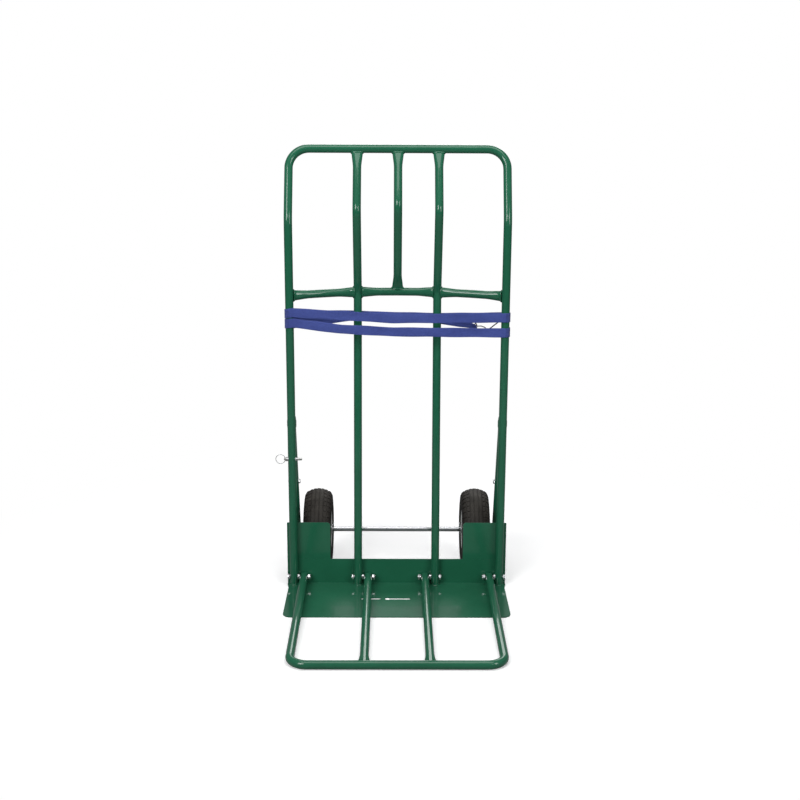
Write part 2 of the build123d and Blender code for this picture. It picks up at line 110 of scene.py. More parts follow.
# ---------------------------------------------------------------- shader groups
class NodeSheet:
    """A node tree with short calls to add and join its nodes."""

    def __init__(self, tree: bpy.types.NodeTree) -> None:
        """Start on an empty tree."""
        self.tree = tree
        tree.nodes.clear()

    def add(self, kind: str, **settings: object) -> bpy.types.Node:
        """Add a node.

        Args:
            kind: Node type without its "ShaderNode" prefix, or a full group node type.
            **settings: Node properties, and input values under "inputs" by name or number.

        Returns:
            The new node.
        """
        node = self.tree.nodes.new(kind if kind.startswith("Node") else "ShaderNode" + kind)
        node.location = (len(self.tree.nodes) * 180, 0)
        for key, value in settings.pop("inputs", {}).items():
            node.inputs[key].default_value = value
        for key, value in settings.items():
            setattr(node, key, value)
        return node

    def join(self, source: Socket, target: Socket) -> None:
        """Link one socket to another."""
        self.tree.links.new(source, target)

    def math(self, operation: str, first: object, second: object = 0.0) -> Socket:
        """Add a Math node fed by sockets or numbers and return its output."""
        node = self.add("Math", operation=operation)
        for socket, value in zip(node.inputs, (first, second)):
            if isinstance(value, Socket):
                self.join(value, socket)
            else:
                socket.default_value = value
        return node.outputs[0]

    def mix(self, mask: Socket, low: object, high: object) -> Socket:
        """Mix two colours by a mask and return the colour."""
        node = self.add("Mix", data_type="RGBA")
        self.join(mask, node.inputs[0])
        for socket, value in ((node.inputs[6], low), (node.inputs[7], high)):
            if isinstance(value, Socket):
                self.join(value, socket)
            else:
                socket.default_value = value
        return node.outputs[2]


def new_group(name: str, inputs: dict[str, object], outputs: dict[str, str]) -> NodeSheet:
    """Make an empty shader group with named sockets.

    Args:
        name: Name of the group.
        inputs: Socket name to its default; a tuple makes a colour, None a vector.
        outputs: Socket name to socket type.

    Returns:
        The group's sheet, with its input and output nodes as "enter" and "leave".
    """
    tree = bpy.data.node_groups.new(name, "ShaderNodeTree")
    sheet = NodeSheet(tree)
    for label, default in inputs.items():
        kind = "NodeSocketVector" if default is None else "NodeSocketFloat"
        kind = "NodeSocketColor" if isinstance(default, tuple) else kind
        socket = tree.interface.new_socket(label, in_out="INPUT", socket_type=kind)
        if default is not None:
            socket.default_value = default
    for label, kind in outputs.items():
        tree.interface.new_socket(label, in_out="OUTPUT", socket_type=kind)
    sheet.enter = sheet.add("NodeGroupInput")
    sheet.leave = sheet.add("NodeGroupOutput")
    return sheet


def drift_group() -> bpy.types.NodeTree:
    """Colour that drifts slowly between two tones, with a finer mottle in it."""
    sheet = new_group(
        "colour_drift",
        {"Place": None, "Tone A": (0.5, 0.5, 0.5, 1), "Tone B": (0.4, 0.4, 0.4, 1), "Scale": 6.0},
        {"Colour": "NodeSocketColor", "Mask": "NodeSocketFloat"},
    )
    broad = sheet.add("TexNoise", inputs={"Detail": 4.0, "Roughness": 0.6})
    fine = sheet.add("TexNoise", inputs={"Scale": 240.0, "Detail": 2.0})
    sheet.join(sheet.enter.outputs["Place"], broad.inputs["Vector"])
    sheet.join(sheet.enter.outputs["Place"], fine.inputs["Vector"])
    sheet.join(sheet.enter.outputs["Scale"], broad.inputs["Scale"])
    slow = sheet.math("MULTIPLY", broad.outputs[0], 0.75)
    mottle = sheet.math("MULTIPLY", fine.outputs[0], 0.25)
    mask = sheet.math("ADD", slow, mottle)
    ramp = sheet.add("MapRange", inputs={"From Min": 0.38, "From Max": 0.62})
    sheet.join(mask, ramp.inputs["Value"])
    colour = sheet.mix(ramp.outputs[0], sheet.enter.outputs["Tone A"], sheet.enter.outputs["Tone B"])
    sheet.join(colour, sheet.leave.inputs["Colour"])
    sheet.join(ramp.outputs[0], sheet.leave.inputs["Mask"])
    return sheet.tree


def skin_group() -> bpy.types.NodeTree:
    """Height of a sprayed or moulded skin: soft peel with a fine grain on it."""
    sheet = new_group(
        "skin_height",
        {"Place": None, "Peel Scale": 300.0, "Grain Scale": 1800.0, "Grain": 0.3},
        {"Height": "NodeSocketFloat"},
    )
    peel = sheet.add("TexNoise", inputs={"Detail": 1.0, "Roughness": 0.4})
    grain = sheet.add("TexNoise", inputs={"Detail": 2.0})
    for noise, scale in ((peel, "Peel Scale"), (grain, "Grain Scale")):
        sheet.join(sheet.enter.outputs["Place"], noise.inputs["Vector"])
        sheet.join(sheet.enter.outputs[scale], noise.inputs["Scale"])
    grit = sheet.math("MULTIPLY", grain.outputs[0], sheet.enter.outputs["Grain"])
    height = sheet.math("ADD", peel.outputs[0], grit)
    sheet.join(height, sheet.leave.inputs["Height"])
    return sheet.tree


def edge_group() -> bpy.types.NodeTree:
    """Mask of rubbed edges, where a rounded normal leaves the true one, broken up by noise; on the green coat its tone
    is a painted edge highlight.
    """
    sheet = new_group(
        "edge_wear_and_highlight", {"Place": None, "Reach": 0.0012, "Amount": 0.5}, {"Mask": "NodeSocketFloat"}
    )
    rounded = sheet.add("Bevel", samples=4)
    true = sheet.add("NewGeometry")
    dot = sheet.add("VectorMath", operation="DOT_PRODUCT")
    noise = sheet.add("TexNoise", inputs={"Scale": 90.0, "Detail": 5.0, "Roughness": 0.7})
    sheet.join(sheet.enter.outputs["Reach"], rounded.inputs["Radius"])
    sheet.join(sheet.enter.outputs["Place"], noise.inputs["Vector"])
    sheet.join(rounded.outputs[0], dot.inputs[0])
    sheet.join(true.outputs["Normal"], dot.inputs[1])
    edge = sheet.add("MapRange", inputs={"From Min": 0.995, "From Max": 0.86})
    sheet.join(dot.outputs["Value"], edge.inputs["Value"])
    patch = sheet.add("MapRange", inputs={"From Min": 0.48, "From Max": 0.66})
    sheet.join(noise.outputs[0], patch.inputs["Value"])
    rubbed = sheet.math("MULTIPLY", patch.outputs[0], sheet.enter.outputs["Amount"])
    mask = sheet.math("MULTIPLY", edge.outputs[0], rubbed)
    sheet.join(mask, sheet.leave.inputs["Mask"])
    return sheet.tree


def dust_group() -> bpy.types.NodeTree:
    """Mask of light dust that settles on faces turned upwards."""
    sheet = new_group("dust", {"Place": None, "Amount": 0.1}, {"Mask": "NodeSocketFloat"})
    facing = sheet.add("NewGeometry")
    split = sheet.add("SeparateXYZ")
    noise = sheet.add("TexNoise", inputs={"Scale": 35.0, "Detail": 6.0, "Roughness": 0.65})
    sheet.join(sheet.enter.outputs["Place"], noise.inputs["Vector"])
    sheet.join(facing.outputs["Normal"], split.inputs[0])
    up = sheet.add("MapRange", inputs={"From Min": 0.2, "From Max": 1.0})
    sheet.join(split.outputs["Z"], up.inputs["Value"])
    settled = sheet.math("MULTIPLY", up.outputs[0], noise.outputs[0])
    mask = sheet.math("MULTIPLY", settled, sheet.enter.outputs["Amount"])
    sheet.join(mask, sheet.leave.inputs["Mask"])
    return sheet.tree


def weave_group() -> bpy.types.NodeTree:
    """Chevron ribs of flat webbing, read from lengths along and across the strap."""
    sheet = new_group(
        "webbing_weave", {"Map": None, "Rib": 0.0017, "Chevron": 0.007}, {
            "Height": "NodeSocketFloat", "Hollow Shade": "NodeSocketFloat"
        }
    )
    split = sheet.add("SeparateXYZ")
    sheet.join(sheet.enter.outputs["Map"], split.inputs[0])
    column = sheet.math("DIVIDE", split.outputs["Y"], sheet.enter.outputs["Chevron"])
    zigzag = sheet.math("PINGPONG", column, 0.5)
    row = sheet.math("DIVIDE", split.outputs["X"], sheet.enter.outputs["Rib"])
    phase = sheet.math("ADD", row, sheet.math("MULTIPLY", zigzag, 3.0))
    wave = sheet.math("SINE", sheet.math("MULTIPLY", phase, math.tau))
    yarn = sheet.math("ABSOLUTE", sheet.math("SINE", sheet.math("MULTIPLY", column, 5 * math.pi)))
    height = sheet.math("ADD", sheet.math("MULTIPLY", wave, 0.5), sheet.math("MULTIPLY", yarn, 0.6))
    # Painted shade: the low parts between the ribs, as a mask that darkens the webbing's colour.
    hollow_shade = sheet.add("MapRange", inputs={"From Min": 0.5, "From Max": -0.4})
    sheet.join(height, hollow_shade.inputs["Value"])
    sheet.join(height, sheet.leave.inputs["Height"])
    sheet.join(hollow_shade.outputs[0], sheet.leave.inputs["Hollow Shade"])
    return sheet.tree


# ---------------------------------------------------------------- finishes
@dataclass(frozen=True)
class Finish:
    """A surface: its tones, gloss, skin, worn edges, which on the green coat are a painted edge highlight, and dust."""

    name: str
    tone_a: Colour
    tone_b: Colour
    roughness: tuple[float, float]
    metallic: float = 0.0
    coat: float = 0.0
    coat_roughness: float = 0.05
    specular: float = 0.5
    peel_scale: float = 300.0
    grain_scale: float = 1800.0
    grain: float = 0.3
    bump: float = 0.00005
    rounding: float = 0.0
    # Tone of rubbed edges: real wear on most finishes, a painted edge highlight on the green coat.
    wear_and_highlight_tone: Colour = (0.35, 0.35, 0.33, 1)
    wear_and_highlight: float = 0.0
    dust: float = 0.0
    stretch: Place = (1, 1, 1)

    def material(self, groups: Groups) -> bpy.types.Material:
        """Build the finish as a node material.

        Args:
            groups: The shared shader groups by name.

        Returns:
            The material.
        """
        material = bpy.data.materials.new(self.name)
        material.use_nodes = True
        sheet = NodeSheet(material.node_tree)
        shader = sheet.add(
            "BsdfPrincipled",
            inputs={
                "Metallic": self.metallic,
                "Specular IOR Level": self.specular,
                "Coat Weight": self.coat,
                "Coat Roughness": self.coat_roughness,
            },
        )
        sheet.join(shader.outputs[0], sheet.add("OutputMaterial").inputs["Surface"])
        place = sheet.add("TexCoord").outputs["Object"]
        if self.stretch != (1, 1, 1):
            mapping = sheet.add("Mapping", inputs={"Scale": self.stretch})
            sheet.join(place, mapping.inputs["Vector"])
            place = mapping.outputs[0]
        tones = {"Tone A": self.tone_a, "Tone B": self.tone_b}
        drift = self.group(sheet, groups["colour_drift"], place, tones)
        colour = drift.outputs["Colour"]
        # Rubbed edges take the edge tone; on the green coat this is a painted edge highlight.
        if self.wear_and_highlight:
            edges = self.group(sheet, groups["edge_wear_and_highlight"], place, {"Amount": self.wear_and_highlight})
            colour = sheet.mix(edges.outputs["Mask"], colour, self.wear_and_highlight_tone)
        if self.dust:
            settled = self.group(sheet, groups["dust"], place, {"Amount": self.dust})
            colour = sheet.mix(settled.outputs["Mask"], colour, (0.33, 0.31, 0.27, 1))
        sheet.join(colour, shader.inputs["Base Color"])
        gloss = sheet.add("MapRange", inputs={"To Min": self.roughness[0], "To Max": self.roughness[1]})
        sheet.join(drift.outputs["Mask"], gloss.inputs["Value"])
        sheet.join(gloss.outputs[0], shader.inputs["Roughness"])
        self.relief(sheet, groups, place, shader)
        return material

    def relief(
        self, sheet: NodeSheet, groups: Groups, place: Socket, shader: bpy.types.Node
    ) -> None:
        """Give the shader its skin relief and softened edges.

        Args:
            sheet: The material's sheet.
            groups: The shared shader groups by name.
            place: Where on the object a point is.
            shader: The Principled shader to feed.
        """
        skin = self.group(
            sheet,
            groups["skin_height"],
            place,
            {"Peel Scale": self.peel_scale, "Grain Scale": self.grain_scale, "Grain": self.grain},
        )
        bump = sheet.add("Bump", inputs={"Strength": 1.0, "Distance": self.bump})
        sheet.join(skin.outputs["Height"], bump.inputs["Height"])
        if self.rounding:
            rounded = sheet.add("Bevel", samples=4, inputs={"Radius": self.rounding})
            sheet.join(rounded.outputs[0], bump.inputs["Normal"])
        sheet.join(bump.outputs[0], shader.inputs["Normal"])

    @staticmethod
    def group(
        sheet: NodeSheet, tree: bpy.types.NodeTree, place: Socket, values: dict[str, object]
    ) -> bpy.types.Node:
        """Place a shared group in a material with its own values.

        Args:
            sheet: The material's sheet.
            tree: The group.
            place: Socket for the group's first, vector input.
            values: Its other inputs.

        Returns:
            The group node.
        """
        node = sheet.add("Group", node_tree=tree)
        sheet.join(place, node.inputs[0])
        for key, value in values.items():
            node.inputs[key].default_value = value
        return node


@dataclass(frozen=True)
class Webbing(Finish):
    """Woven strap: chevron ribs that follow its length, with painted shade darkening the hollows."""

    # Colour of the painted shade in the weave's hollows.
    hollow_shade: Colour = (0.02, 0.03, 0.16, 1)

    def material(self, groups: Groups) -> bpy.types.Material:
        """Build the webbing as a node material, as Finish.material does."""
        material = super().material(groups)
        tree = material.node_tree
        shader = next(node for node in tree.nodes if node.type == "BSDF_PRINCIPLED")
        bump = next(node for node in tree.nodes if node.type == "BUMP")
        shader.inputs["Sheen Weight"].default_value = 0.08
        shader.inputs["Sheen Roughness"].default_value = 0.5
        weave = tree.nodes.new("ShaderNodeGroup")
        weave.node_tree = groups["webbing_weave"]
        uv = tree.nodes.new("ShaderNodeUVMap")
        uv.uv_map = "strap"
        tree.links.new(uv.outputs[0], weave.inputs["Map"])
        tree.links.new(weave.outputs["Height"], bump.inputs["Height"])
        base = shader.inputs["Base Color"].links[0].from_socket
        # Mix the painted hollow shade into the base colour.
        shade = tree.nodes.new("ShaderNodeMix")
        shade.data_type = "RGBA"
        tree.links.new(weave.outputs["Hollow Shade"], shade.inputs[0])
        tree.links.new(base, shade.inputs[6])
        shade.inputs[7].default_value = self.hollow_shade
        tree.links.new(shade.outputs[2], shader.inputs["Base Color"])
        return material


FINISHES: dict[Slot, Finish] = {
    Slot.GREEN: Finish(
        "gloss_green_powder_coat", (0.016, 0.132, 0.069, 1), (0.012, 0.112, 0.057, 1), (0.3, 0.4), coat=0.9,
        coat_roughness=0.07, specular=0.06, peel_scale=220, grain=0.05, bump=0.00002, rounding=0.0012,
        # Lighter green edge tone: a painted edge highlight on rubbed edges.
        wear_and_highlight_tone=(0.05, 0.2, 0.12, 1), wear_and_highlight=0.35, dust=0.03,
    ),
    Slot.RIM: Finish(
        "pale_rim_paint", (0.55, 0.56, 0.55, 1), (0.48, 0.49, 0.48, 1), (0.3, 0.42), coat=0.4, coat_roughness=0.15,
        bump=0.00004, rounding=0.001, wear_and_highlight_tone=(0.2, 0.19, 0.17, 1), wear_and_highlight=0.5, dust=0.25,
    ),
    Slot.HUB: Finish(
        "pale_hub_paint", (0.52, 0.53, 0.52, 1), (0.45, 0.46, 0.45, 1), (0.32, 0.45), coat=0.3, coat_roughness=0.2,
        bump=0.00004, rounding=0.0008, wear_and_highlight_tone=(0.2, 0.19, 0.17, 1), wear_and_highlight=0.5, dust=0.2,
    ),
    Slot.TYRE: Finish(
        "tyre_rubber", (0.011, 0.009, 0.008, 1), (0.018, 0.014, 0.012, 1), (0.62, 0.8), specular=0.2, peel_scale=900,
        grain_scale=3200, grain=0.6, bump=0.00012, wear_and_highlight_tone=(0.06, 0.055, 0.05, 1), wear_and_highlight=0.6, dust=0.25,
    ),
    Slot.INNER_TUBE: Finish(
        "inner_tube_rubber", (0.015, 0.015, 0.015, 1), (0.022, 0.022, 0.022, 1), (0.45, 0.6)
    ),
    Slot.CHROME: Finish(
        "bright_drawn_rod", (0.80, 0.81, 0.83, 1), (0.68, 0.69, 0.71, 1), (0.08, 0.2), metallic=1.0, bump=0.00001,
        stretch=(0.08, 1, 1), peel_scale=1500, wear_and_highlight_tone=(0.45, 0.44, 0.42, 1), wear_and_highlight=0.3,
    ),
    Slot.ZINC: Finish(
        "bright_zinc", (0.72, 0.73, 0.74, 1), (0.58, 0.60, 0.62, 1), (0.2, 0.36), metallic=1.0, bump=0.00003,
        peel_scale=700, rounding=0.0004, wear_and_highlight_tone=(0.85, 0.85, 0.84, 1), wear_and_highlight=0.4, dust=0.08,
    ),
    Slot.PIN: Finish(
        "plated_pin", (0.62, 0.62, 0.61, 1), (0.48, 0.48, 0.47, 1), (0.22, 0.4), metallic=1.0, bump=0.00003,
        peel_scale=800, rounding=0.0004, wear_and_highlight_tone=(0.8, 0.8, 0.78, 1), wear_and_highlight=0.5,
    ),
    Slot.WEBBING: Webbing(
        "blue_webbing", (0.060, 0.100, 0.42, 1), (0.048, 0.080, 0.35, 1), (0.6, 0.78), bump=0.00035, dust=0.06,
    ),
    Slot.HOOK: Finish(
        "dark_coated_wire", (0.02, 0.02, 0.022, 1), (0.03, 0.03, 0.032, 1), (0.3, 0.45), coat=0.5, coat_roughness=0.2,
        peel_scale=900, bump=0.00004, wear_and_highlight_tone=(0.25, 0.25, 0.25, 1), wear_and_highlight=0.4,
    ),
    Slot.PLASTIC: Finish(
        "moulded_black_plastic", (0.017, 0.017, 0.018, 1), (0.024, 0.024, 0.025, 1), (0.38, 0.52), peel_scale=1200,
        grain_scale=3500, grain=0.8, bump=0.00005, rounding=0.0006, wear_and_highlight_tone=(0.07, 0.07, 0.07, 1), wear_and_highlight=0.4, dust=0.1,
    ),
    Slot.VALVE: Finish(
        "valve_rubber", (0.016, 0.016, 0.016, 1), (0.024, 0.023, 0.022, 1), (0.5, 0.65), peel_scale=900, bump=0.00005,
        rounding=0.0005, dust=0.1,
    ),
}


class Paintwork:
    """Every finish as a material, made once and laid on CAD nodes and new pieces."""

    def __init__(self) -> None:
        """Build the shared shader groups and the materials."""
        groups = {
            group.name: group for group in (
                drift_group(), skin_group(), edge_group(), dust_group(), weave_group()
            )
        }
        self.materials = {slot: finish.material(groups) for slot, finish in FINISHES.items()}

    def dress_nodes(self, frame: dict) -> None:
        """Lay each CAD node's finish on its own material slots.
        """
        for row in frame["record"]["subparts"]:
            node = frame["nodes"][row["node"]]
            for place in node.material_slots:
                place.material = self.materials[Slot(row["material_slot"])]

    def dress(self, piece: Object, slot: Slot, body: Body, *nodes: str) -> Object:
        """Finish a new piece, put it on its body and let it stand for CAD nodes.

        Args:
            piece: The new piece.
            slot: Its finish.
            body: The body that it rides on.
            *nodes: CAD nodes that it replaces.

        Returns:
            The piece.
        """
        piece.data.materials.clear()
        piece.data.materials.append(self.materials[slot])
        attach(piece, body.value)
        if nodes:
            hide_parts(*nodes)
        LOG.info("%s: %d faces", piece.name, len(piece.data.polygons))
        return piece


# ---------------------------------------------------------------- mesh work
def deselect() -> None:
    """Leave nothing selected."""
    bpy.ops.object.select_all(action="DESELECT")


def take_up(piece: Object) -> None:
    """Make a piece the only one selected, and active."""
    deselect()
    piece.select_set(True)
    bpy.context.view_layer.objects.active = piece


@contextmanager
def editing(piece: Object) -> Iterator[bmesh.types.BMesh]:
    """Work on a piece in edit mode.

    Args:
        piece: The piece.

    Yields:
        Its edit mesh.
    """
    take_up(piece)
    bpy.ops.object.mode_set(mode="EDIT")
    yield bmesh.from_edit_mesh(piece.data)
    bpy.ops.object.mode_set(mode="OBJECT")


def pick_faces(piece: Object, wanted: Callable[[Vector, Vector], bool]) -> None:
    """Select the faces whose centre and normal pass a test, in edit mode.

    Args:
        piece: The piece being edited.
        wanted: Test of a face's centre and normal.
    """
    bpy.ops.mesh.select_mode(type="FACE")
    bpy.ops.mesh.select_all(action="DESELECT")
    mesh = bmesh.from_edit_mesh(piece.data)
    mesh.normal_update()
    for face in mesh.faces:
        face.select_set(wanted(face.calc_center_median(), face.normal))
    mesh.select_flush_mode()
    bmesh.update_edit_mesh(piece.data)


def pick_points(piece: Object, wanted: Callable[[Vector], bool]) -> None:
    """Select the points whose place passes a test, in edit mode."""
    bpy.ops.mesh.select_mode(type="VERT")
    bpy.ops.mesh.select_all(action="DESELECT")
    mesh = bmesh.from_edit_mesh(piece.data)
    for point in mesh.verts:
        point.select_set(wanted(point.co))
    mesh.select_flush_mode()
    bmesh.update_edit_mesh(piece.data)


def tidy(piece: Object, merge: float = 0.00001) -> None:
    """Merge doubled points and turn every face outwards."""
    with editing(piece):
        bpy.ops.mesh.select_all(action="SELECT")
        bpy.ops.mesh.remove_doubles(threshold=merge)
        bpy.ops.mesh.normals_make_consistent(inside=False)


def apply_modifiers(piece: Object) -> None:
    """Apply a piece's modifiers in order."""
    take_up(piece)
    for modifier in list(piece.modifiers):
        bpy.ops.object.modifier_apply(modifier=modifier.name)


def soften(piece: Object, width: float, segments: int = 2, angle: float = 35.0) -> None:
    """Bevel a piece's sharp edges and apply the bevel."""
    bevel = piece.modifiers.new("edge", "BEVEL")
    bevel.width = width
    bevel.segments = segments
    bevel.limit_method = "ANGLE"
    bevel.angle_limit = math.radians(angle)
    apply_modifiers(piece)


def settle(piece: Object, name: str, angle: float = 40.0) -> Object:
    """Put a piece's place into its mesh, name it and smooth its shading.

    Args:
        piece: The piece.
        name: Its name.
        angle: Sharpest angle that is still shaded smooth, in degrees.

    Returns:
        The piece.
    """
    take_up(piece)
    bpy.ops.object.transform_apply(location=True, rotation=True, scale=True)
    bpy.ops.object.shade_smooth_by_angle(angle=math.radians(angle))
    piece.name = name
    piece.data.name = name
    return piece


def join(pieces: list[Object]) -> Object:
    """Join pieces into the first of them and return it."""
    take_up(pieces[0])
    for piece in pieces:
        piece.select_set(True)
    bpy.ops.object.join()
    return pieces[0]


def copy_to(piece: Object, name: str, matrix: Matrix) -> Object:
    """Copy a piece with its own mesh and move the copy's mesh.

    Args:
        piece: What to copy.
        name: The copy's name.
        matrix: Where it goes, from where the first one is.

    Returns:
        The copy.
    """
    twin = piece.copy()
    twin.data = piece.data.copy()
    twin.name = name
    bpy.context.collection.objects.link(twin)
    twin.data.transform(matrix)
    return twin


# ---------------------------------------------------------------- routes for bent tube
@dataclass
class Run:
    """A straight run or a round bend of a route."""

    start: Vector
    along: Vector
    length: float
    centre: Vector | None = None
    axis: Vector | None = None
    turn: float = 0.0

    def place(self, distance: float, across: Vector) -> tuple[Vector, Vector, Vector]:
        """Find a place along the run.

        Args:
            distance: How far along the run.
            across: The sideways direction at the run's start.

        Returns:
            The point, the direction of travel and the sideways direction there.
        """
        if self.centre is None:
            return self.start + self.along * distance, self.along, across
        rotation = Quaternion(self.axis, self.turn * distance / self.length)
        return self.centre + rotation @ (self.start - self.centre), rotation @ self.along, rotation @ across


@dataclass
class Route:
    """A line of straight runs joined by tangent bends, as a tube bender makes it."""

    corners: list[Vector]
    radii: list[float]
    across: Vector
    runs: list[Run] = field(default_factory=list)

    def __post_init__(self) -> None:
        """Work out the runs and bends."""
        here = self.corners[0]
        for before, corner, after, radius in zip(
            self.corners, self.corners[1:], self.corners[2:], self.radii
        ):
            arriving, leaving = (corner - before).normalized(), (after - corner).normalized()
            turn = arriving.angle(leaving)
            reach = radius * math.tan(turn / 2)
            bend_start = corner - arriving * reach
            self.runs.append(Run(here, arriving, (bend_start - here).length))
            axis = arriving.cross(leaving).normalized()
            centre = bend_start + axis.cross(arriving) * radius
            self.runs.append(Run(bend_start, arriving, radius * turn, centre, axis, turn))
            here = corner + leaving * reach
        last = self.corners[-1] - here
        self.runs.append(Run(here, last.normalized(), last.length))

    @property
    def length(self) -> float:
        """The whole length."""
        return sum(run.length for run in self.runs)

    def place(self, distance: float) -> tuple[Vector, Vector, Vector]:
        """Find the point, direction of travel and sideways direction at a distance along."""
        across = self.across
        for run in self.runs:
            if distance <= run.length or run is self.runs[-1]:
                return run.place(distance, across)
            distance -= run.length
            across = run.place(run.length, across)[2]
        raise ValueError("a route has at least one run")

    def stations(self, step: float, bend_step: float = math.radians(6)) -> list[float]:
        """Distances that follow the runs in even steps and the bends closely.

        Args:
            step: Longest step on a straight run.
            bend_step: Angle between stations in a bend.

        Returns:
            The distances, in order.
        """
        marks = [0.0]
        for run in self.runs:
            if run.length <= SHORTEST_RUN:
                continue
            steps = run.length / step if run.centre is None else run.turn / bend_step
            count = max(1, math.ceil(steps))
            here = marks[-1]
            marks += [here + run.length * (n + 1) / count for n in range(count)]
        return marks


@dataclass
class TubeEnd:
    """A squashed, weld-filleted tube end."""

    wide: float = 1.0
    deep: float = 1.0
    taper: float = 0.045
    fillet: float = 0.0

    def section(self, distance: float) -> tuple[float, float]:
        """How many times the round radius the tube is wide and deep, this far from its end."""
        share = max(0.0, 1 - distance / self.taper)
        eased = share * share * (3 - 2 * share)
        flare = 1 + self.fillet * math.exp(-distance / 0.0022)
        return (1 + (self.wide - 1) * eased) * flare, (1 + (self.deep - 1) * eased) * flare

    def marks(self) -> list[float]:
        """Distances from the end where the section needs a ring of its own."""
        near = [0.0007, 0.0015, 0.0028, 0.0045, 0.007] if self.fillet else []
        return near + [self.taper * n / 8 for n in range(1, 9)] if self.wide != 1 else near


def bent_tube(
    name: str, route: Route, radius: float, start: TubeEnd = TubeEnd(), end: TubeEnd = TubeEnd(), sides: int = 32, step: float = 0.06
) -> Object:
    """Draw a tube out ring by ring, shape its ends and lay it on its route.

    Args:
        name: The piece's name.
        route: Where its centre line runs.
        radius: Its round radius.
        start: Shape of its first end.
        end: Shape of its last end.
        sides: Points round it.
        step: Longest straight step between rings.

    Returns:
        The tube, closed at both ends.
    """
    length = route.length
    marks = set(route.stations(step)) | set(start.marks()) | {length - mark for mark in end.marks()}
    marks = sorted(mark for mark in marks if 0 <= mark <= length + 1e-9)
    marks = [mark for n, mark in enumerate(marks) if n == 0 or mark - marks[n - 1] > 1e-5]

    def section(mark: float) -> tuple[float, float]:
        """Half width and half depth of the tube at a mark."""
        first, last = start.section(mark), end.section(length - mark)
        return radius * first[0] * last[0], radius * first[1] * last[1]

    bpy.ops.mesh.primitive_circle_add(vertices=sides, radius=1, fill_type="NOTHING", location=(0, 0, 0))
    tube = bpy.context.object
    with editing(tube):
        wide, deep = section(marks[0])
        bpy.ops.transform.resize(value=(wide, deep, 1))
        for before, mark in zip(marks, marks[1:]):
            bpy.ops.mesh.extrude_region_move(TRANSFORM_OT_translate={"value": (0, 0, mark - before)})
            next_wide, next_deep = section(mark)
            if abs(next_wide - wide) + abs(next_deep - deep) > 1e-7:
                bpy.ops.transform.resize(
                    value=(next_wide / wide, next_deep / deep, 1), center_override=(0, 0, mark)
                )
            wide, deep = next_wide, next_deep
        bpy.ops.mesh.select_all(action="SELECT")
        bpy.ops.mesh.fill_holes(sides=0)
    for point in tube.data.vertices:
        middle, along, across = route.place(max(0.0, point.co.z))
        point.co = middle + across * point.co.x + along.cross(across) * point.co.y
    tidy(tube, 0.000001)
    return settle(tube, name)


def weld_bead(
    centre: Vector, axis: Vector, wide: float, deep: float, bead: float, across: Vector
) -> Object:
    """Lay a rippled weld round a tube end.

    Args:
        centre: Middle of the ring.
        axis: Direction that the tube leaves in.
        wide: Half width of the tube there, along across.
        deep: Half depth there.
        bead: Radius of the bead.
        across: Sideways direction.

    Returns:
        The bead.
    """
    bpy.ops.mesh.primitive_torus_add(
        major_segments=54, minor_segments=8, major_radius=1, minor_radius=bead / wide, location=(0, 0, 0)
    )
    ring = bpy.context.object
    with editing(ring):
        pick_points(
            ring,
            lambda point: int(
                (math.atan2(point.y, point.x) + math.pi) / math.radians(20 / 3) + 0.5
            ) % 3 == 0
        )
        bpy.ops.transform.resize(value=(0.975, 0.975, 0.72), center_override=(0, 0, 0))
        bpy.ops.mesh.select_all(action="SELECT")
        bpy.ops.transform.resize(value=(wide, deep, wide), center_override=(0, 0, 0))
    side = across.normalized()
    up = axis.normalized()
    turn = Matrix((side, up.cross(side), up)).transposed().to_4x4()
    ring.data.transform(Matrix.Translation(centre) @ turn)
    return settle(ring, "weld_bead", 60)


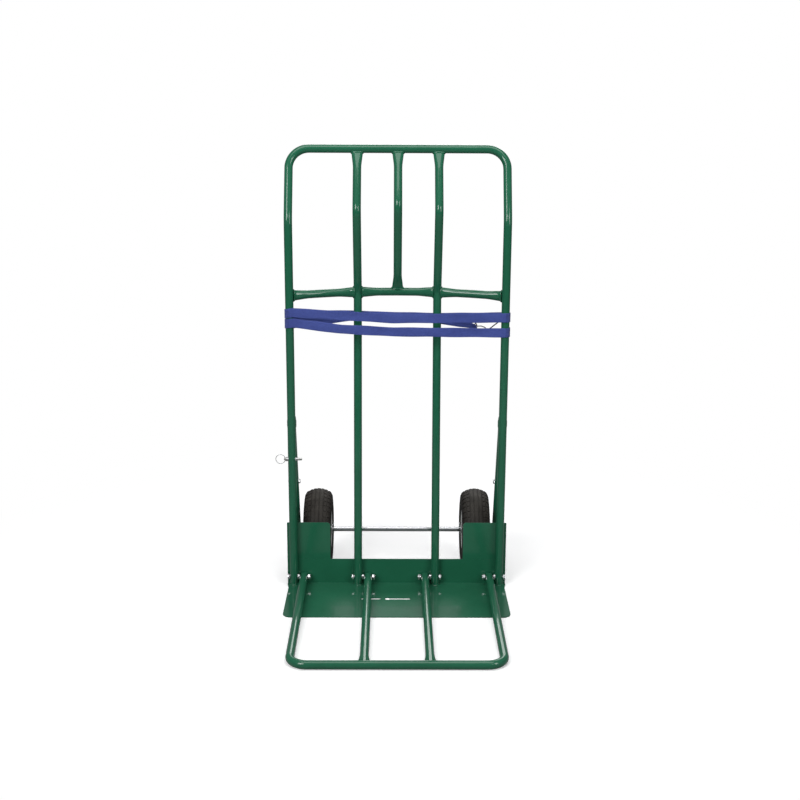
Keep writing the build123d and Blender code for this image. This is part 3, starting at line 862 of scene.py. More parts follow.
# ---------------------------------------------------------------- the tubular frame
@dataclass
class TubeFrame:
    """The bent hoop, the uprights, the bars between them and their welds."""

    tube_r: float = 12.5 * MM
    main_x: float = 325 * MM
    inner_x: float = 121.7 * MM
    foot_z: float = 3.1 * MM
    kink_z: float = 1155 * MM
    handle_y: float = 78 * MM
    handle_z: float = 1356 * MM
    kink_bend_r: float = 100 * MM
    handle_bend_r: float = 60 * MM
    small_bend_r: float = 40 * MM
    cross_z: float = 926.5 * MM
    cross_bow: float = 92 * MM
    upright_bend_z: float = 95 * MM
    grid_kink_y: float = -8 * MM
    side_kink_z: float = 1180 * MM
    mid_kink_z: float = 1195 * MM
    stay_top: tuple[float, float] = (9 * MM, 545 * MM)
    axle: tuple[float, float] = (153.2 * MM, 133.25 * MM)
    squashed: TubeEnd = field(
        default_factory=lambda: TubeEnd(wide=1.34, deep=0.66, taper=0.05, fillet=0.2)
    )

    @property
    def bow_r(self) -> float:
        """Radius of the bowed cross bar."""
        return (self.main_x**2 + self.cross_bow**2) / (2 * self.cross_bow)

    def bow_y(self, x: float) -> float:
        """How far back the cross bar is at x."""
        return self.cross_bow - self.bow_r + math.sqrt(self.bow_r**2 - x**2)

    def hoop(self) -> Object:
        """Bend the main hoop from one length of tube."""
        corners = [
            Vector((-self.main_x, 0, self.foot_z)),
            Vector((-self.main_x, 0, self.kink_z)),
            Vector((-self.main_x, self.handle_y, self.handle_z)),
            Vector((self.main_x, self.handle_y, self.handle_z)),
            Vector((self.main_x, 0, self.kink_z)),
            Vector((self.main_x, 0, self.foot_z)),
        ]
        radii = [self.kink_bend_r, self.handle_bend_r, self.handle_bend_r, self.kink_bend_r]
        return bent_tube("main_hoop", Route(corners, radii, RIGHTWARDS), self.tube_r, sides=40)

    def upright(self, side: int, word: str) -> Object:
        """Bend one inner upright, from the toe plate through the cross bar to the handle."""
        x = side * self.inner_x
        corners = [
            Vector((x, 0, self.foot_z)),
            Vector((x, 0, self.upright_bend_z)),
            Vector((x, self.bow_y(x) + 0.94 * MM, self.cross_z)),
            Vector((x, self.grid_kink_y, self.side_kink_z)),
            self.under_handle(x, self.side_kink_z),
        ]
        route = Route(corners, [self.small_bend_r] * 3, RIGHTWARDS)
        return bent_tube(f"inner_upright_{word}.piece", route, self.tube_r, end=self.squashed)

    def under_handle(self, x: float, kink_z: float) -> Vector:
        """Where a grid bar's squashed end meets the underside of the handle."""
        top = Vector((x, self.handle_y, self.handle_z))
        rising = (top - Vector((x, self.grid_kink_y, kink_z))).normalized()
        return top - rising * (self.tube_r - BITE)

    def centre_bar(self) -> Object:
        """Bend the short centre bar between the cross bar and the handle."""
        kink = Vector((0, self.grid_kink_y, self.mid_kink_z))
        foot = Vector((0, self.cross_bow, self.cross_z))
        foot += (kink - foot).normalized() * (self.tube_r - BITE)
        route = Route(
            [foot, kink, self.under_handle(0, self.mid_kink_z)], [self.small_bend_r], RIGHTWARDS
        )
        return bent_tube(
            "grid_bar_centre.piece", route, self.tube_r, start=self.squashed, end=self.squashed
        )

    def cross_span(self, from_x: float, to_x: float, name: str) -> Object:
        """Draw one span of the bowed cross bar, squashed tall at both ends.

        Args:
            from_x: Where it starts.
            to_x: Where it ends.
            name: The piece's name.

        Returns:
            The span.
        """
        middle = Vector((0, self.cross_bow - self.bow_r, self.cross_z))
        first = Vector((from_x, self.bow_y(from_x), self.cross_z))
        last = Vector((to_x, self.bow_y(to_x), self.cross_z))
        turn = (first - middle).angle(last - middle)
        axis = Vector((0, 0, -1))
        along = axis.cross(first - middle).normalized()
        route = Route([first, last], [], Vector((0, 0, 1)))
        route.runs = [Run(first, along, self.bow_r * turn, middle, axis, turn)]
        end = TubeEnd(wide=1.26, deep=0.72, taper=0.055, fillet=0.2)
        return bent_tube(name, route, self.tube_r, start=end, end=end)

    def welds(self) -> Object:
        """Lay the weld beads round the tube feet and the tops of the stays."""
        beads = []
        for x in (-self.main_x, -self.inner_x, self.inner_x, self.main_x):
            foot = Vector((x, 0, self.foot_z + 0.6 * MM))
            beads.append(weld_bead(foot, UPWARDS, self.tube_r, self.tube_r, BEAD, RIGHTWARDS))
        down = (Vector((0, *self.axle)) - Vector((0, *self.stay_top))).normalized()
        for side, _ in SIDES:
            along_face = Vector((side * self.main_x, self.tube_r - 0.5 * MM, 0))
            fall = (along_face.y - self.stay_top[0]) / down.y
            along_face.z = self.stay_top[1] + down.z * fall - 8 * MM
            rise = self.tube_r / down.y
            beads.append(
                weld_bead(along_face, Vector((0, 1, 0)), self.tube_r, rise * 0.9, 2.2 * MM, RIGHTWARDS)
            )
        return settle(join(beads + self.joints()), "frame_welds", 60)

    def joints(self) -> list[Object]:
        """Lay the paint-filled beads where the cross bar and the grid bars end."""
        beads = []
        for x in (-self.main_x, -self.inner_x, self.inner_x, self.main_x):
            for step in (-1, 1):
                end_x = x + step * self.tube_r
                if abs(end_x) > self.main_x:
                    continue
                along = Vector((step, (self.bow_y(end_x + step * MM) - self.bow_y(end_x)) / MM, 0))
                place = Vector((end_x, self.bow_y(end_x), self.cross_z))
                beads.append(
                    weld_bead(place, along, self.tube_r * 1.34, self.tube_r * 0.72, BEAD, UPWARDS)
                )
        for x, kink_z in (
            (-self.inner_x, self.side_kink_z), (0.0, self.mid_kink_z), (self.inner_x, self.side_kink_z)
        ):
            top = Vector((x, self.handle_y, self.handle_z))
            rising = (top - Vector((x, self.grid_kink_y, kink_z))).normalized()
            place = top - rising * (self.tube_r + 0.8 * MM)
            beads.append(self.bar_bead(place, rising))
        kink = Vector((0, self.grid_kink_y, self.mid_kink_z))
        foot = Vector((0, self.cross_bow, self.cross_z))
        rising = (kink - foot).normalized()
        place = foot + rising * (self.tube_r + 0.8 * MM)
        beads.append(self.bar_bead(place, rising))
        return beads

    def bar_bead(self, place: Vector, rising: Vector) -> Object:
        """Lay the bead round a grid bar's squashed end."""
        return weld_bead(place, rising, self.tube_r * 1.38, self.tube_r * 0.68, BEAD, RIGHTWARDS)

    def build(self, paint: Paintwork) -> None:
        """Build every tube and weld and dress them."""
        nodes = (
            "main_tube_left", "handle_bend_left", "handle_bar", "handle_bend_right", "main_tube_right"
        )
        paint.dress(self.hoop(), Slot.GREEN, Body.FRAME, *nodes)
        for side, word in SIDES:
            paint.dress(self.upright(side, word), Slot.GREEN, Body.FRAME, f"inner_upright_{word}")
        paint.dress(self.centre_bar(), Slot.GREEN, Body.FRAME, "grid_bar_centre")
        reach = self.tube_r - 1.8 * MM
        spans = (
            (-self.main_x + reach, -self.inner_x - reach, "cross_bar_left"),
            (-self.inner_x + reach, self.inner_x - reach, "cross_bar_centre"),
            (self.inner_x + reach, self.main_x - reach, "cross_bar_right"),
        )
        for from_x, to_x, node in spans:
            paint.dress(self.cross_span(from_x, to_x, f"{node}.piece"), Slot.GREEN, Body.FRAME, node)
        paint.dress(self.welds(), Slot.GREEN, Body.FRAME)


@dataclass
class NoseJoints:
    """The widened ends and weld beads where the nose bars meet the nose hoop."""

    tube_r: float = 12.5 * MM
    bar_x: float = 90.2 * MM
    pivot: tuple[float, float] = (-1 * MM, 29 * MM)
    reach: float = 585 * MM
    flare: float = 50 * MM

    def build(self, paint: Paintwork) -> None:
        """Build both joints as one piece on the nose frame."""
        drop = math.asin((self.pivot[1] - self.tube_r) / self.reach)
        along = Vector((0, -math.cos(drop), -math.sin(drop)))
        parts = []
        for side, _ in SIDES:
            hinge = Vector((side * self.bar_x, *self.pivot))
            meet = hinge + along * (self.reach - self.tube_r + 1.2 * MM)
            route = Route([meet - along * self.flare, meet], [], RIGHTWARDS)
            end = TubeEnd(wide=1.3, deep=0.84, taper=self.flare * 0.9, fillet=0.15)
            parts.append(bent_tube("nose_flare", route, self.tube_r + 0.15 * MM, end=end))
            bead = meet - along * 1 * MM
            parts.append(
                weld_bead(bead, along, self.tube_r * 1.38, self.tube_r * 0.78, 2.4 * MM, RIGHTWARDS)
            )
        paint.dress(settle(join(parts), "nose_joints", 50), Slot.GREEN, Body.NOSE)


# ---------------------------------------------------------------- wheels
@dataclass
class Tyre:
    """A ribbed pneumatic tyre, modelled as one pitch of tread and carried round the axle."""

    wheel_x: float = 254.5 * MM
    wheel_y: float = 153.2 * MM
    wheel_r: float = 133.25 * MM
    pitches: int = 40
    lug: float = 2.4 * MM
    sipe: float = 0.22

    def profile(self) -> list[tuple[float, float]]:
        """The closed section, as (axial, radius) in millimetres, crown first."""
        crown = [37, 31, 28, 20, 17, 8, 5]
        half = [(a, 130.8 - 0.0083 * a * a) for a in crown]
        wall = [
            (41.5, 111), (44.4, 103), (45, 95), (44.2, 86), (41.5, 76), (37.5, 68), (34.5, 62), (34, 53)
        ]
        outer = [(-a, r) for a, r in half] + list(reversed(half))
        right = wall
        inner = [(24, 53), (25, 62), (34, 76), (39, 95), (34, 111), (22, 119)]
        lining = inner + [(0, 122)] + [(-a, r) for a, r in reversed(inner)]
        left = [(-a, r) for a, r in reversed(wall)]
        return outer + right + lining + left

    def pitch(self) -> Object:
        """Model one pitch of the tyre, with its raised ribs and shoulder lug."""
        section = self.profile()
        count = len(section)
        bpy.ops.mesh.primitive_grid_add(
            x_subdivisions=count, y_subdivisions=3, size=2, location=(0, 0, 0)
        )
        strip = bpy.context.object
        angles = [0.0, self.sipe / 2, 1 - self.sipe / 2, 1.0]
        for point in strip.data.vertices:
            column = round((point.co.x + 1) / 2 * count) % count
            row = round((point.co.y + 1) / 2 * 3)
            turn = angles[row] * math.tau / self.pitches
            axial, radius = section[column]
            point.co = Vector((axial * MM, -radius * MM * math.sin(turn), radius * MM * math.cos(turn)))
        tidy(strip)
        middle_turn = 0.5 * math.tau / self.pitches
        out = Vector((0, -math.sin(middle_turn), math.cos(middle_turn)))

        def raised(centre: Vector, normal: Vector) -> bool:
            """Whether a face is on top of a rib or a shoulder lug."""
            axial = abs(centre.x) / MM
            turn = math.atan2(-centre.y, centre.z) * self.pitches / math.tau
            whole = axial < 17
            on_rib = axial < 5 or 8 < axial < 17 or 20 < axial < 28 or 31 < axial < 42
            return normal.dot(out) > 0.35 and centre.yz.length > 112 * MM and on_rib and (whole or 0.1 < turn < 0.9)

        with editing(strip):
            pick_faces(strip, raised)
            bpy.ops.mesh.extrude_region_shrink_fatten(TRANSFORM_OT_shrink_fatten={"value": self.lug})
        return strip

    def tread(self) -> Object:
        """Carry the pitch round the axle and merge it into one tyre about the origin."""
        tyre = self.pitch()
        with editing(tyre):
            bpy.ops.mesh.select_all(action="SELECT")
            bpy.ops.mesh.spin(
                steps=self.pitches, angle=math.tau, dupli=True, center=(0, 0, 0), axis=(1, 0, 0)
            )
        tidy(tyre, 0.00004)
        with editing(tyre) as mesh:
            doubled = [face for face in mesh.faces if not all(edge.is_manifold for edge in face.edges)]
            LOG.info("tyre faces beside open edges: %d", len(doubled))
        soften(tyre, 0.35 * MM, 1, 40)
        return tyre

    def build(self, paint: Paintwork) -> None:
        """Build one tyre, copy it for the other wheel and dress both."""
        tyre = self.tread()
        bodies = {"left": Body.LEFT_WHEEL, "right": Body.RIGHT_WHEEL}
        twin = copy_to(
            tyre, "right_tyre.piece", Matrix.Translation((self.wheel_x, self.wheel_y, self.wheel_r))
        )
        tyre.data.transform(Matrix.Translation((-self.wheel_x, self.wheel_y, self.wheel_r)))
        for piece, word in ((tyre, "left"), (twin, "right")):
            settle(piece, f"{word}_tyre.piece", 32)
            paint.dress(piece, Slot.TYRE, bodies[word], f"{word}_tyre")


# ---------------------------------------------------------------- fasteners
@dataclass
class Hexagon:
    """A hexagonal bolt head or nut along X, with chamfered corners and a washer face."""

    across_flats: float
    height: float

    def build(self, name: str, face: Vector, outwards: int) -> Object:
        """Make the hexagon with its seat at a face.

        Args:
            name: Name of the piece.
            face: Centre of its seat.
            outwards: +1 where it stands towards +X, -1 towards -X.

        Returns:
            The hexagon.
        """
        corner = self.across_flats / math.sqrt(3)
        bpy.ops.mesh.primitive_cylinder_add(
            vertices=6, radius=corner, depth=self.height * 0.9, location=(0, 0, self.height * 0.55)
        )
        head = bpy.context.object
        with editing(head):
            pick_faces(head, lambda centre, normal: normal.z > 0.9)
            bpy.ops.mesh.inset(thickness=corner * 0.09)
            bpy.ops.transform.translate(value=(0, 0, corner * 0.05))
            bpy.ops.mesh.inset(thickness=corner * 0.12)
            bpy.ops.transform.translate(value=(0, 0, -corner * 0.02))
        soften(head, corner * 0.035, 2)
        bpy.ops.mesh.primitive_cylinder_add(
            vertices=36, radius=self.across_flats * 0.48, depth=self.height * 0.12, location=(0, 0, self.height * 0.06)
        )
        seat = bpy.context.object
        soften(seat, self.height * 0.02, 1)
        whole = join([head, seat])
        turn = Matrix.Rotation(math.radians(90), 4, "Y") if outwards > 0 else Matrix.Rotation(math.radians(-90), 4, "Y")
        take_up(whole)
        bpy.ops.object.transform_apply(location=True, rotation=True, scale=True)
        whole.data.transform(Matrix.Translation(face) @ turn)
        return settle(whole, name, 30)


@dataclass
class ThreadedRod:
    """The shank of a bolt along X: plain at the head end, with thread crests at the far end."""

    radius: float
    pitch: float = 1.25 * MM

    def build(self, name: str, head: Vector, tip: Vector, threaded: float) -> Object:
        """Draw the rod from its head to its tip.

        Args:
            name: Name of the piece.
            head: Where the shank leaves the head.
            tip: Its end.
            threaded: Length of the thread at the tip.

        Returns:
            The rod.
        """
        length = (tip - head).length
        bpy.ops.mesh.primitive_circle_add(
            vertices=24, radius=self.radius, fill_type="NGON", location=(0, 0, 0)
        )
        rod = bpy.context.object
        with editing(rod):
            bpy.ops.mesh.extrude_region_move(
                TRANSFORM_OT_translate={"value": (0, 0, length - threaded)}
            )
            for _ in range(int(threaded / self.pitch)):
                for share in (0.86, 1 / 0.86):
                    bpy.ops.mesh.extrude_region_move(
                        TRANSFORM_OT_translate={"value": (0, 0, self.pitch / 2)}
                    )
                    bpy.ops.transform.resize(value=(share, share, 1))
            bpy.ops.mesh.extrude_region_move(
                TRANSFORM_OT_translate={"value": (0, 0, self.radius * 0.15)}
            )
            bpy.ops.transform.resize(value=(0.8, 0.8, 1))
            bpy.ops.mesh.select_all(action="SELECT")
            bpy.ops.mesh.fill_holes(sides=0)
        tidy(rod)
        rod.data.transform(
            Matrix.Translation(head) @ Vector((0, 0, 1)).rotation_difference(tip - head).to_matrix().to_4x4()
        )
        return settle(rod, name, 50)


@dataclass
class Fasteners:
    """The pivot bolts and stay bolts with their nuts."""

    tube_r: float = 12.5 * MM
    main_x: float = 325 * MM
    inner_x: float = 121.7 * MM
    nose_x: float = 294 * MM
    nose_bar_x: float = 90.2 * MM
    pivot: tuple[float, float] = (-1 * MM, 29 * MM)
    axle: tuple[float, float] = (153.2 * MM, 133.25 * MM)
    stay_top: tuple[float, float] = (9 * MM, 545 * MM)
    stay_bolt_up: float = 195 * MM
    play: float = 0.3 * MM
    nose_play: float = 0.9 * MM
    pivot_head: Hexagon = field(default_factory=lambda: Hexagon(17 * MM, 6.5 * MM))
    pivot_nut: Hexagon = field(default_factory=lambda: Hexagon(17 * MM, 8 * MM))
    stay_head: Hexagon = field(default_factory=lambda: Hexagon(13 * MM, 4.5 * MM))
    stay_nut: Hexagon = field(default_factory=lambda: Hexagon(13 * MM, 6.5 * MM))

    def bolted(
        self, head_x: float, nut_x: float, side: int, place: tuple[float, float], rod_r: float, head: Hexagon, nut: Hexagon
    ) -> tuple[Object, Object]:
        """Make one bolt and its nut.

        Args:
            head_x: Seat of the head.
            nut_x: Seat of the nut.
            side: +1 where the head faces +X.
            place: The bolt's (y, z).
            rod_r: Radius of its shank.
            head: The head.
            nut: The nut.

        Returns:
            The bolt and the nut.
        """
        top = head.build("bolt_head", Vector((head_x, *place)), side)
        end_x = nut_x - side * (nut.height + 1.4 * MM)
        threaded = nut.height + 4 * MM
        shank = ThreadedRod(rod_r).build(
            "shank", Vector((head_x, *place)), Vector((end_x, *place)), threaded
        )
        return join([top, shank]), nut.build("nut", Vector((nut_x, *place)), -side)

    def build(self, paint: Paintwork) -> None:
        """Build every fastener and dress it."""
        bolts, nuts = [], []
        for side, _ in SIDES:
            for fixed, moving in ((self.main_x, self.nose_x), (self.inner_x, self.nose_bar_x)):
                head_x = side * (fixed + self.tube_r + self.play)
                nut_x = side * (moving - self.tube_r - self.nose_play)
                bolt, nut = self.bolted(
                    head_x, nut_x, side, self.pivot, 5 * MM, self.pivot_head, self.pivot_nut
                )
                bolts.append(bolt)
                nuts.append(nut)
        paint.dress(settle(join(bolts), "pivot_bolts.piece", 30), Slot.ZINC, Body.FRAME, "pivot_bolts")
        paint.dress(settle(join(nuts), "pivot_nuts.piece", 30), Slot.ZINC, Body.FRAME, "pivot_nuts")
        up = (Vector(self.stay_top) - Vector(self.axle)).normalized() * self.stay_bolt_up
        place = (self.axle[0] + up.x, self.axle[1] + up.y)
        bolts, nuts = [], []
        for side, _ in SIDES:
            head_x = side * (self.main_x - self.tube_r - self.play)
            nut_x = side * (self.main_x + self.tube_r + self.play)
            bolt, nut = self.bolted(head_x, nut_x, -side, place, 4 * MM, self.stay_head, self.stay_nut)
            bolts.append(bolt)
            nuts.append(nut)
        paint.dress(settle(join(bolts), "stay_bolts.piece", 30), Slot.ZINC, Body.FRAME, "stay_bolts")
        paint.dress(settle(join(nuts), "stay_nuts.piece", 30), Slot.ZINC, Body.FRAME, "stay_nuts")


# ---------------------------------------------------------------- strap
@dataclass
class StrapPoint:
    """A place on the strap's centre line, seen from above, and the way its face looks."""

    x: float
    y: float
    outwards: float


@dataclass
class Strap:
    """One length of webbing wound twice round the uprights, with a wire hook at each end."""

    width: float = 28 * MM
    thick: float = 1.6 * MM
    lie: float = 14.1 * MM
    main_x: float = 325 * MM
    inner_x: float = 121.7 * MM
    inner_y: float = 73.6 * MM
    start_x: float = 236 * MM
    lifted: float = 2.3 * MM

    def wraps(self) -> list[tuple[float, float, float, float]]:
        """The four tubes of one turn as (x, y, first angle, last angle), from the right one back."""
        lean = math.atan2(self.main_x - self.inner_x, self.inner_y)
        half, back = math.pi / 2, math.pi
        return [
            (self.main_x, 0.0, -half, lean),
            (self.inner_x, self.inner_y, lean, half),
            (-self.inner_x, self.inner_y, half, back - lean),
            (-self.main_x, 0.0, back - lean, back + half),
        ]

    def line(self) -> tuple[list[StrapPoint], list[float]]:
        """Wind the centre line round the tubes.

        Returns:
            Its points, and its marks: the distance along it at the middle of each tube's wrap.
        """
        right, near, far, left = self.wraps()
        order = [near, far, left, right, near, far, left, right]
        lean = near[2]
        x0 = self.start_x
        share = (self.main_x - x0) / (self.main_x - self.inner_x)
        outward = Vector((math.cos(lean), math.sin(lean)))
        first = Vector((self.main_x, 0)).lerp(
            Vector((self.inner_x, self.inner_y)), share
        ) + outward * self.lie
        points = [StrapPoint(first.x, first.y, lean)]
        marks, travelled = [], 0.0
        for x, y, turn_from, turn_to in order:
            before = points[-1]
            start = Vector((x + self.lie * math.cos(turn_from), y + self.lie * math.sin(turn_from)))
            run = start - Vector((before.x, before.y))
            steps = max(1, int(run.length / (12 * MM)))
            for n in range(1, steps + 1):
                at = Vector((before.x, before.y)) + run * n / steps
                points.append(StrapPoint(at.x, at.y, turn_from))
            travelled += run.length
            arc = self.lie * (turn_to - turn_from)
            marks.append(travelled + arc / 2)
            travelled += arc
            steps = max(2, int(math.degrees(turn_to - turn_from) / 9))
            for n in range(1, steps + 1):
                turn = turn_from + (turn_to - turn_from) * n / steps
                points.append(
                    StrapPoint(x + self.lie * math.cos(turn), y + self.lie * math.sin(turn), turn)
                )
        return points, marks

    def levels(self, marks: list[float], total: float) -> list[tuple[float, float]]:
        """Heights of the centre line in millimetres at set distances along the strap.

        Args:
            marks: Distance at the middle of each tube's wrap.
            total: Length of the strap.

        Returns:
            Pairs of distance and height, in order.
        """
        end, back_left, left, right, near, far, left_again, right_again = marks
        return [
            (0.0, 825), (0.045, 834), (end, 842), (back_left, 853.5), (left - 0.03, 867), (left + 0.03, 877.6), (left + 0.33, 860.6),
            (right, 864), (near, 847), (far, 852.5), (left_again - 0.03, 838), (left_again + 0.03, 846.5),
            (left_again + 0.17, 828.5), (left_again + 0.33, 820.3), (right_again, 818), (total, 820),
        ]

    @staticmethod
    def height_at(along: float, levels: list[tuple[float, float]]) -> float:
        """Height of the centre line in metres, this far along the strap."""
        for (low, from_z), (high, to_z) in zip(levels, levels[1:]):
            if along <= high:
                return (from_z + (to_z - from_z) * max(0.0, along - low) / (high - low)) * MM
        return levels[-1][1] * MM

    def webbing(self) -> tuple[Object, float]:
        """Lay a flat strip of webbing along the line and give it its thickness.

        Returns:
            The strap and its length.
        """
        points, marks = self.line()
        last = points[-1]
        tail = Vector((-math.sin(last.outwards), math.cos(last.outwards))) * 12 * MM
        points.append(StrapPoint(last.x + tail.x, last.y + tail.y, last.outwards))
        gaps = [math.hypot(b.x - a.x, b.y - a.y) for a, b in zip(points, points[1:])]
        along = [sum(gaps[:n]) for n in range(len(points))]
        total = along[-1]
        rows, count = 6, len(points) - 1
        levels = self.levels(marks, total)
        bpy.ops.mesh.primitive_grid_add(
            x_subdivisions=count, y_subdivisions=rows, size=2, location=(0, 0, 0)
        )
        strip = bpy.context.object
        strip.data.uv_layers[0].name = "strap"
        for point in strip.data.vertices:
            column = round((point.co.x + 1) / 2 * count)
            share = point.co.y / 2
            here, distance = points[column], along[column]
            ahead = self.height_at(distance + 0.01, levels) - self.height_at(distance - 0.01, levels)
            slope = math.atan2(ahead, 0.02)
            outward = Vector((math.cos(here.outwards), math.sin(here.outwards), 0))
            onward = Vector((-math.sin(here.outwards), math.cos(here.outwards), 0))
            lifted = self.lifted * min(1.0, max(0.0, (marks[2] - 0.05 - distance) / 0.06))
            gathered = 1 - 0.64 * max(0.0, 1 - distance / 0.05) - 0.4 * max(
                0.0, 1 - (total - distance) / 0.02
            ) ** 2
            slack = min(1.0, min(abs(distance - mark) for mark in marks) / 0.08)
            cup = 0.9 * MM * slack * math.cos(math.pi * share) * math.sin(distance * 21)
            edge = self.width * share * gathered + 0.5 * MM * slack * math.sin(distance * 47 + share * 3)
            middle = Vector((here.x, here.y, self.height_at(distance, levels)))
            rise = UPWARDS * math.cos(slope) * edge
            point.co = middle + outward * (lifted + cup) + rise - onward * math.sin(slope) * edge
        for loop in strip.data.uv_layers["strap"].data:
            loop.uv = (loop.uv[0] * total, (loop.uv[1] - 0.5) * self.width)
        body = strip.modifiers.new("webbing", "SOLIDIFY")
        body.thickness = self.thick
        body.offset = 0
        apply_modifiers(strip)
        soften(strip, 0.35 * MM, 2)
        return settle(strip, "strap.webbing", 50), total

    def hook(self, name: str, corners: list[Place], eye: Place) -> Object:
        """Bend one wire hook with a dipped tip and an eye for the webbing.

        Args:
            name: The piece's name.
            corners: Corners of its route in millimetres, from the eye to the tip.
            eye: Centre of the eye, in millimetres.

        Returns:
            The hook.
        """
        route = Route(
            [Vector(corner) * MM for corner in corners], [5 * MM] * (len(corners) - 2),
            Vector((0, 1, 0))
        )
        wire = bent_tube(name, route, 1.7 * MM, sides=14, step=0.01)
        tip = Vector(corners[-1]) * MM
        back = (Vector(corners[-2]) - Vector(corners[-1])).normalized() * 9 * MM
        dip_route = Route([tip + back, tip - back * 0.1], [], Vector((0, 1, 0)))
        dip = bent_tube("dip", dip_route, 2.4 * MM, sides=14, step=0.003)
        soften(dip, 1.1 * MM, 3)
        bpy.ops.mesh.primitive_torus_add(
            major_segments=28, minor_segments=10, major_radius=7 * MM, minor_radius=1.7 * MM,
            location=Vector(eye) * MM, rotation=(math.radians(90), 0, math.radians(-20)),
        )
        ring = bpy.context.object
        with editing(ring):
            bpy.ops.transform.resize(value=(0.6, 1, 1.25))
        return settle(join([wire, dip, settle(ring, "eye")]), name, 50)

    def build(self, paint: Paintwork) -> None:
        strap, length = self.webbing()
        paint.dress(strap, Slot.WEBBING, Body.FRAME, "strap_turn_upper", "strap_turn_lower")
        lower = self.hook(
            "strap_hook_lower",
            [(244, 46.5, 828), (256, 42, 829), (268, 38, 825), (271, 37, 814), (262, 40, 809)],
            (239, 48.5, 827),
        )
        upper = self.hook(
            "strap_hook_upper",
            [
                (319, 22, 828), (317, 23, 846), (306, 27, 844), (272, 40, 814), (263, 43, 809),
                (257, 45, 816)
            ],
            (320, 21.5, 822),
        )
        hooks = settle(join([lower, upper]), "strap_hooks.piece", 50)
        paint.dress(hooks, Slot.HOOK, Body.FRAME, "strap_hooks")
        LOG.info("strap length %.3f m", length)


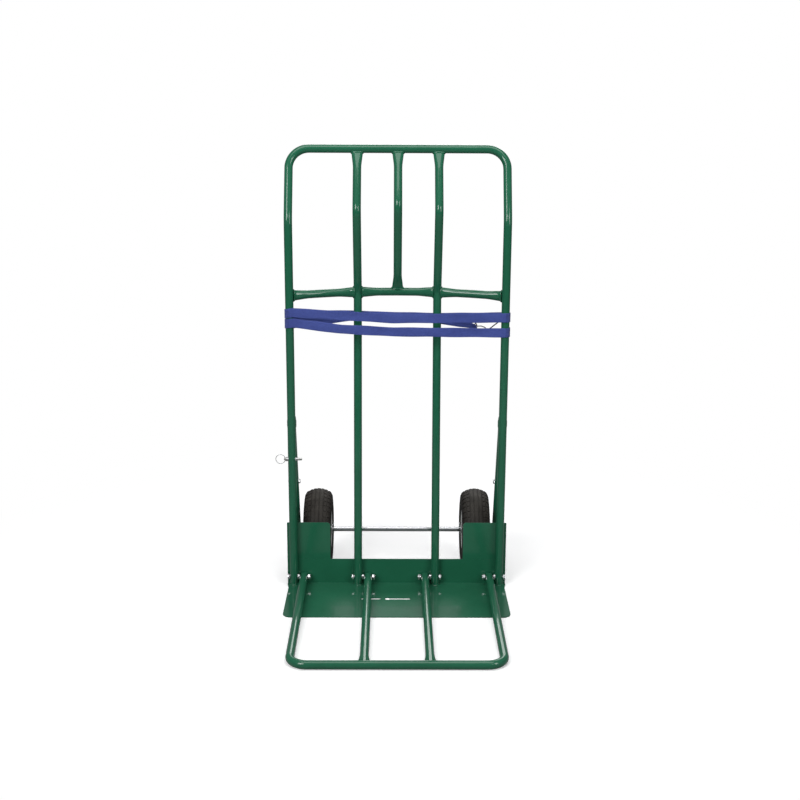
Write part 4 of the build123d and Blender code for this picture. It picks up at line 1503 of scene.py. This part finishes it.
# ---------------------------------------------------------------- studio
@dataclass
class Studio:
    """The camera, the pale floor and the soft lights."""

    lens: float = 53.953
    eye: Place = (-0.016893, -3.563461, 1.480767)
    pitch: float = 13.791
    turn: float = 0.407
    roll: float = 0.263

    def camera(self) -> None:
        """Put the camera at its place and make it the scene's."""
        pitch, turn, roll = (math.radians(a) for a in (self.pitch, self.turn, self.roll))
        ahead = Vector(
            (math.sin(turn) * math.cos(pitch), math.cos(turn) * math.cos(pitch), -math.sin(pitch))
        )
        level = Vector((math.cos(turn), -math.sin(turn), 0))
        up = level.cross(ahead)
        right = level * math.cos(roll) + up * math.sin(roll)
        top = up * math.cos(roll) - level * math.sin(roll)
        data = bpy.data.cameras.new("camera")
        data.lens = self.lens
        data.sensor_width = 36
        camera = bpy.data.objects.new("camera", data)
        bpy.context.collection.objects.link(camera)
        rotation = Matrix((right, top, -ahead)).transposed().to_4x4()
        camera.matrix_world = Matrix.Translation(self.eye) @ rotation
        bpy.context.scene.camera = camera

    def floor(self) -> None:
        """Lay a wide flat floor."""
        bpy.ops.mesh.primitive_plane_add(size=1, location=(0, 0, 0))
        floor = bpy.context.object
        with editing(floor):
            bpy.ops.transform.resize(value=(60, 60, 1))
            bpy.ops.mesh.select_all(action="DESELECT")
        floor.name = "floor"
        material = bpy.data.materials.new("pale_floor")
        material.use_nodes = True
        sheet = NodeSheet(material.node_tree)
        place = sheet.add("TexCoord").outputs["Object"]
        glow = {"Emission Color": (1, 1, 1, 1), "Emission Strength": 0.3}
        near = sheet.add("BsdfPrincipled", inputs={"Roughness": 0.8, "Specular IOR Level": 0.1, **glow})
        bounce = sheet.add("BsdfDiffuse", inputs={"Color": (0.3, 0.3, 0.3, 1)})
        far = sheet.add("Emission")
        noise = sheet.add("TexNoise", inputs={"Scale": 0.7, "Detail": 3.0})
        sheet.join(place, noise.inputs["Vector"])
        sheet.join(
            sheet.mix(noise.outputs[0], (0.9, 0.9, 0.9, 1), (0.94, 0.94, 0.94, 1)),
            near.inputs["Base Color"]
        )
        reach = sheet.add("VectorMath", operation="LENGTH")
        sheet.join(place, reach.inputs[0])
        fade = sheet.add(
            "MapRange", interpolation_type="SMOOTHSTEP", inputs={"From Min": 0.6, "From Max": 1.6}
        )
        sheet.join(reach.outputs["Value"], fade.inputs["Value"])
        seen = self.blend(sheet, fade.outputs[0], near.outputs[0], far.outputs[0])
        whole = self.blend(
            sheet, sheet.add("LightPath").outputs["Is Camera Ray"], bounce.outputs[0], seen
        )
        sheet.join(whole, sheet.add("OutputMaterial").inputs["Surface"])
        floor.data.materials.append(material)

    @staticmethod
    def blend(
        sheet: NodeSheet, mask: Socket, low: Socket, high: Socket
    ) -> Socket:
        """Mix two shaders by a mask and return the shader."""
        mixed = sheet.add("MixShader")
        for source, target in zip((mask, low, high), mixed.inputs):
            sheet.join(source, target)
        return mixed.outputs[0]

    def softbox(
        self, name: str, place: Place, aim: Place, size: tuple[float, float], power: float
    ) -> None:
        """Hang a soft rectangular light.

        Args:
            name: Its name.
            place: Where it hangs.
            aim: What it points at.
            size: Its width and height.
            power: Its power in watts.
        """
        data = bpy.data.lights.new(name, "AREA")
        data.shape = "RECTANGLE"
        data.size, data.size_y = size
        data.energy = power
        light = bpy.data.objects.new(name, data)
        bpy.context.collection.objects.link(light)
        light.location = place
        light.rotation_euler = (Vector(aim) - Vector(place)).to_track_quat("-Z", "Y").to_euler()

    def surround(self) -> None:
        """Light the background: white where it is seen, softer where it lights the cart."""
        world = bpy.data.worlds.new("surround")
        bpy.context.scene.world = world
        world.use_nodes = True
        sheet = NodeSheet(world.node_tree)
        seen = sheet.add("Background", inputs={"Color": (1, 1, 1, 1), "Strength": 1.0})
        lit = sheet.add("Background", inputs={"Color": (0.95, 0.97, 1, 1), "Strength": 0.16})
        camera_ray = sheet.add("LightPath").outputs["Is Camera Ray"]
        mixed = self.blend(sheet, camera_ray, lit.outputs[0], seen.outputs[0])
        sheet.join(mixed, sheet.add("OutputWorld").inputs["Surface"])

    def build(self) -> None:
        """Set up the camera, floor and lights."""
        self.camera()
        self.floor()
        self.surround()
        self.softbox("key", (-2.6, -3.4, 3.0), (0, 0, 0.7), (1.6, 2.4), 95)
        self.softbox("fill", (2.9, -2.8, 2.2), (0, 0, 0.6), (1.0, 2.2), 42)
        self.softbox("overhead", (0.0, -0.8, 3.7), (0, 0, 0.4), (3.0, 2.0), 52)
        self.softbox("rear", (0.4, 3.2, 2.6), (0, 0, 0.6), (2.4, 1.6), 45)
        self.softbox("left_spark", (-1.5, -3.6, 2.9), (0, 0, 1.1), (0.45, 0.8), 17)
        self.softbox("right_spark", (1.9, -3.5, 2.7), (0, 0, 1.1), (0.35, 0.7), 11)
        bpy.context.scene.view_settings.view_transform = "Standard"
        bpy.context.scene.view_settings.look = "None"


def main() -> None:
    """Build the cart around its frame and report each sub-assembly."""
    logging.basicConfig(level=logging.INFO, format="%(name)s: %(message)s")
    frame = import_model()
    paint = Paintwork()
    paint.dress_nodes(frame)
    Studio().build()
    for assembly in (TubeFrame(), NoseJoints(), Strap(), Tyre(), Fasteners()):
        assembly.build(paint)
        LOG.info("%s built", type(assembly).__name__)


if __name__ == "__main__":
    main()
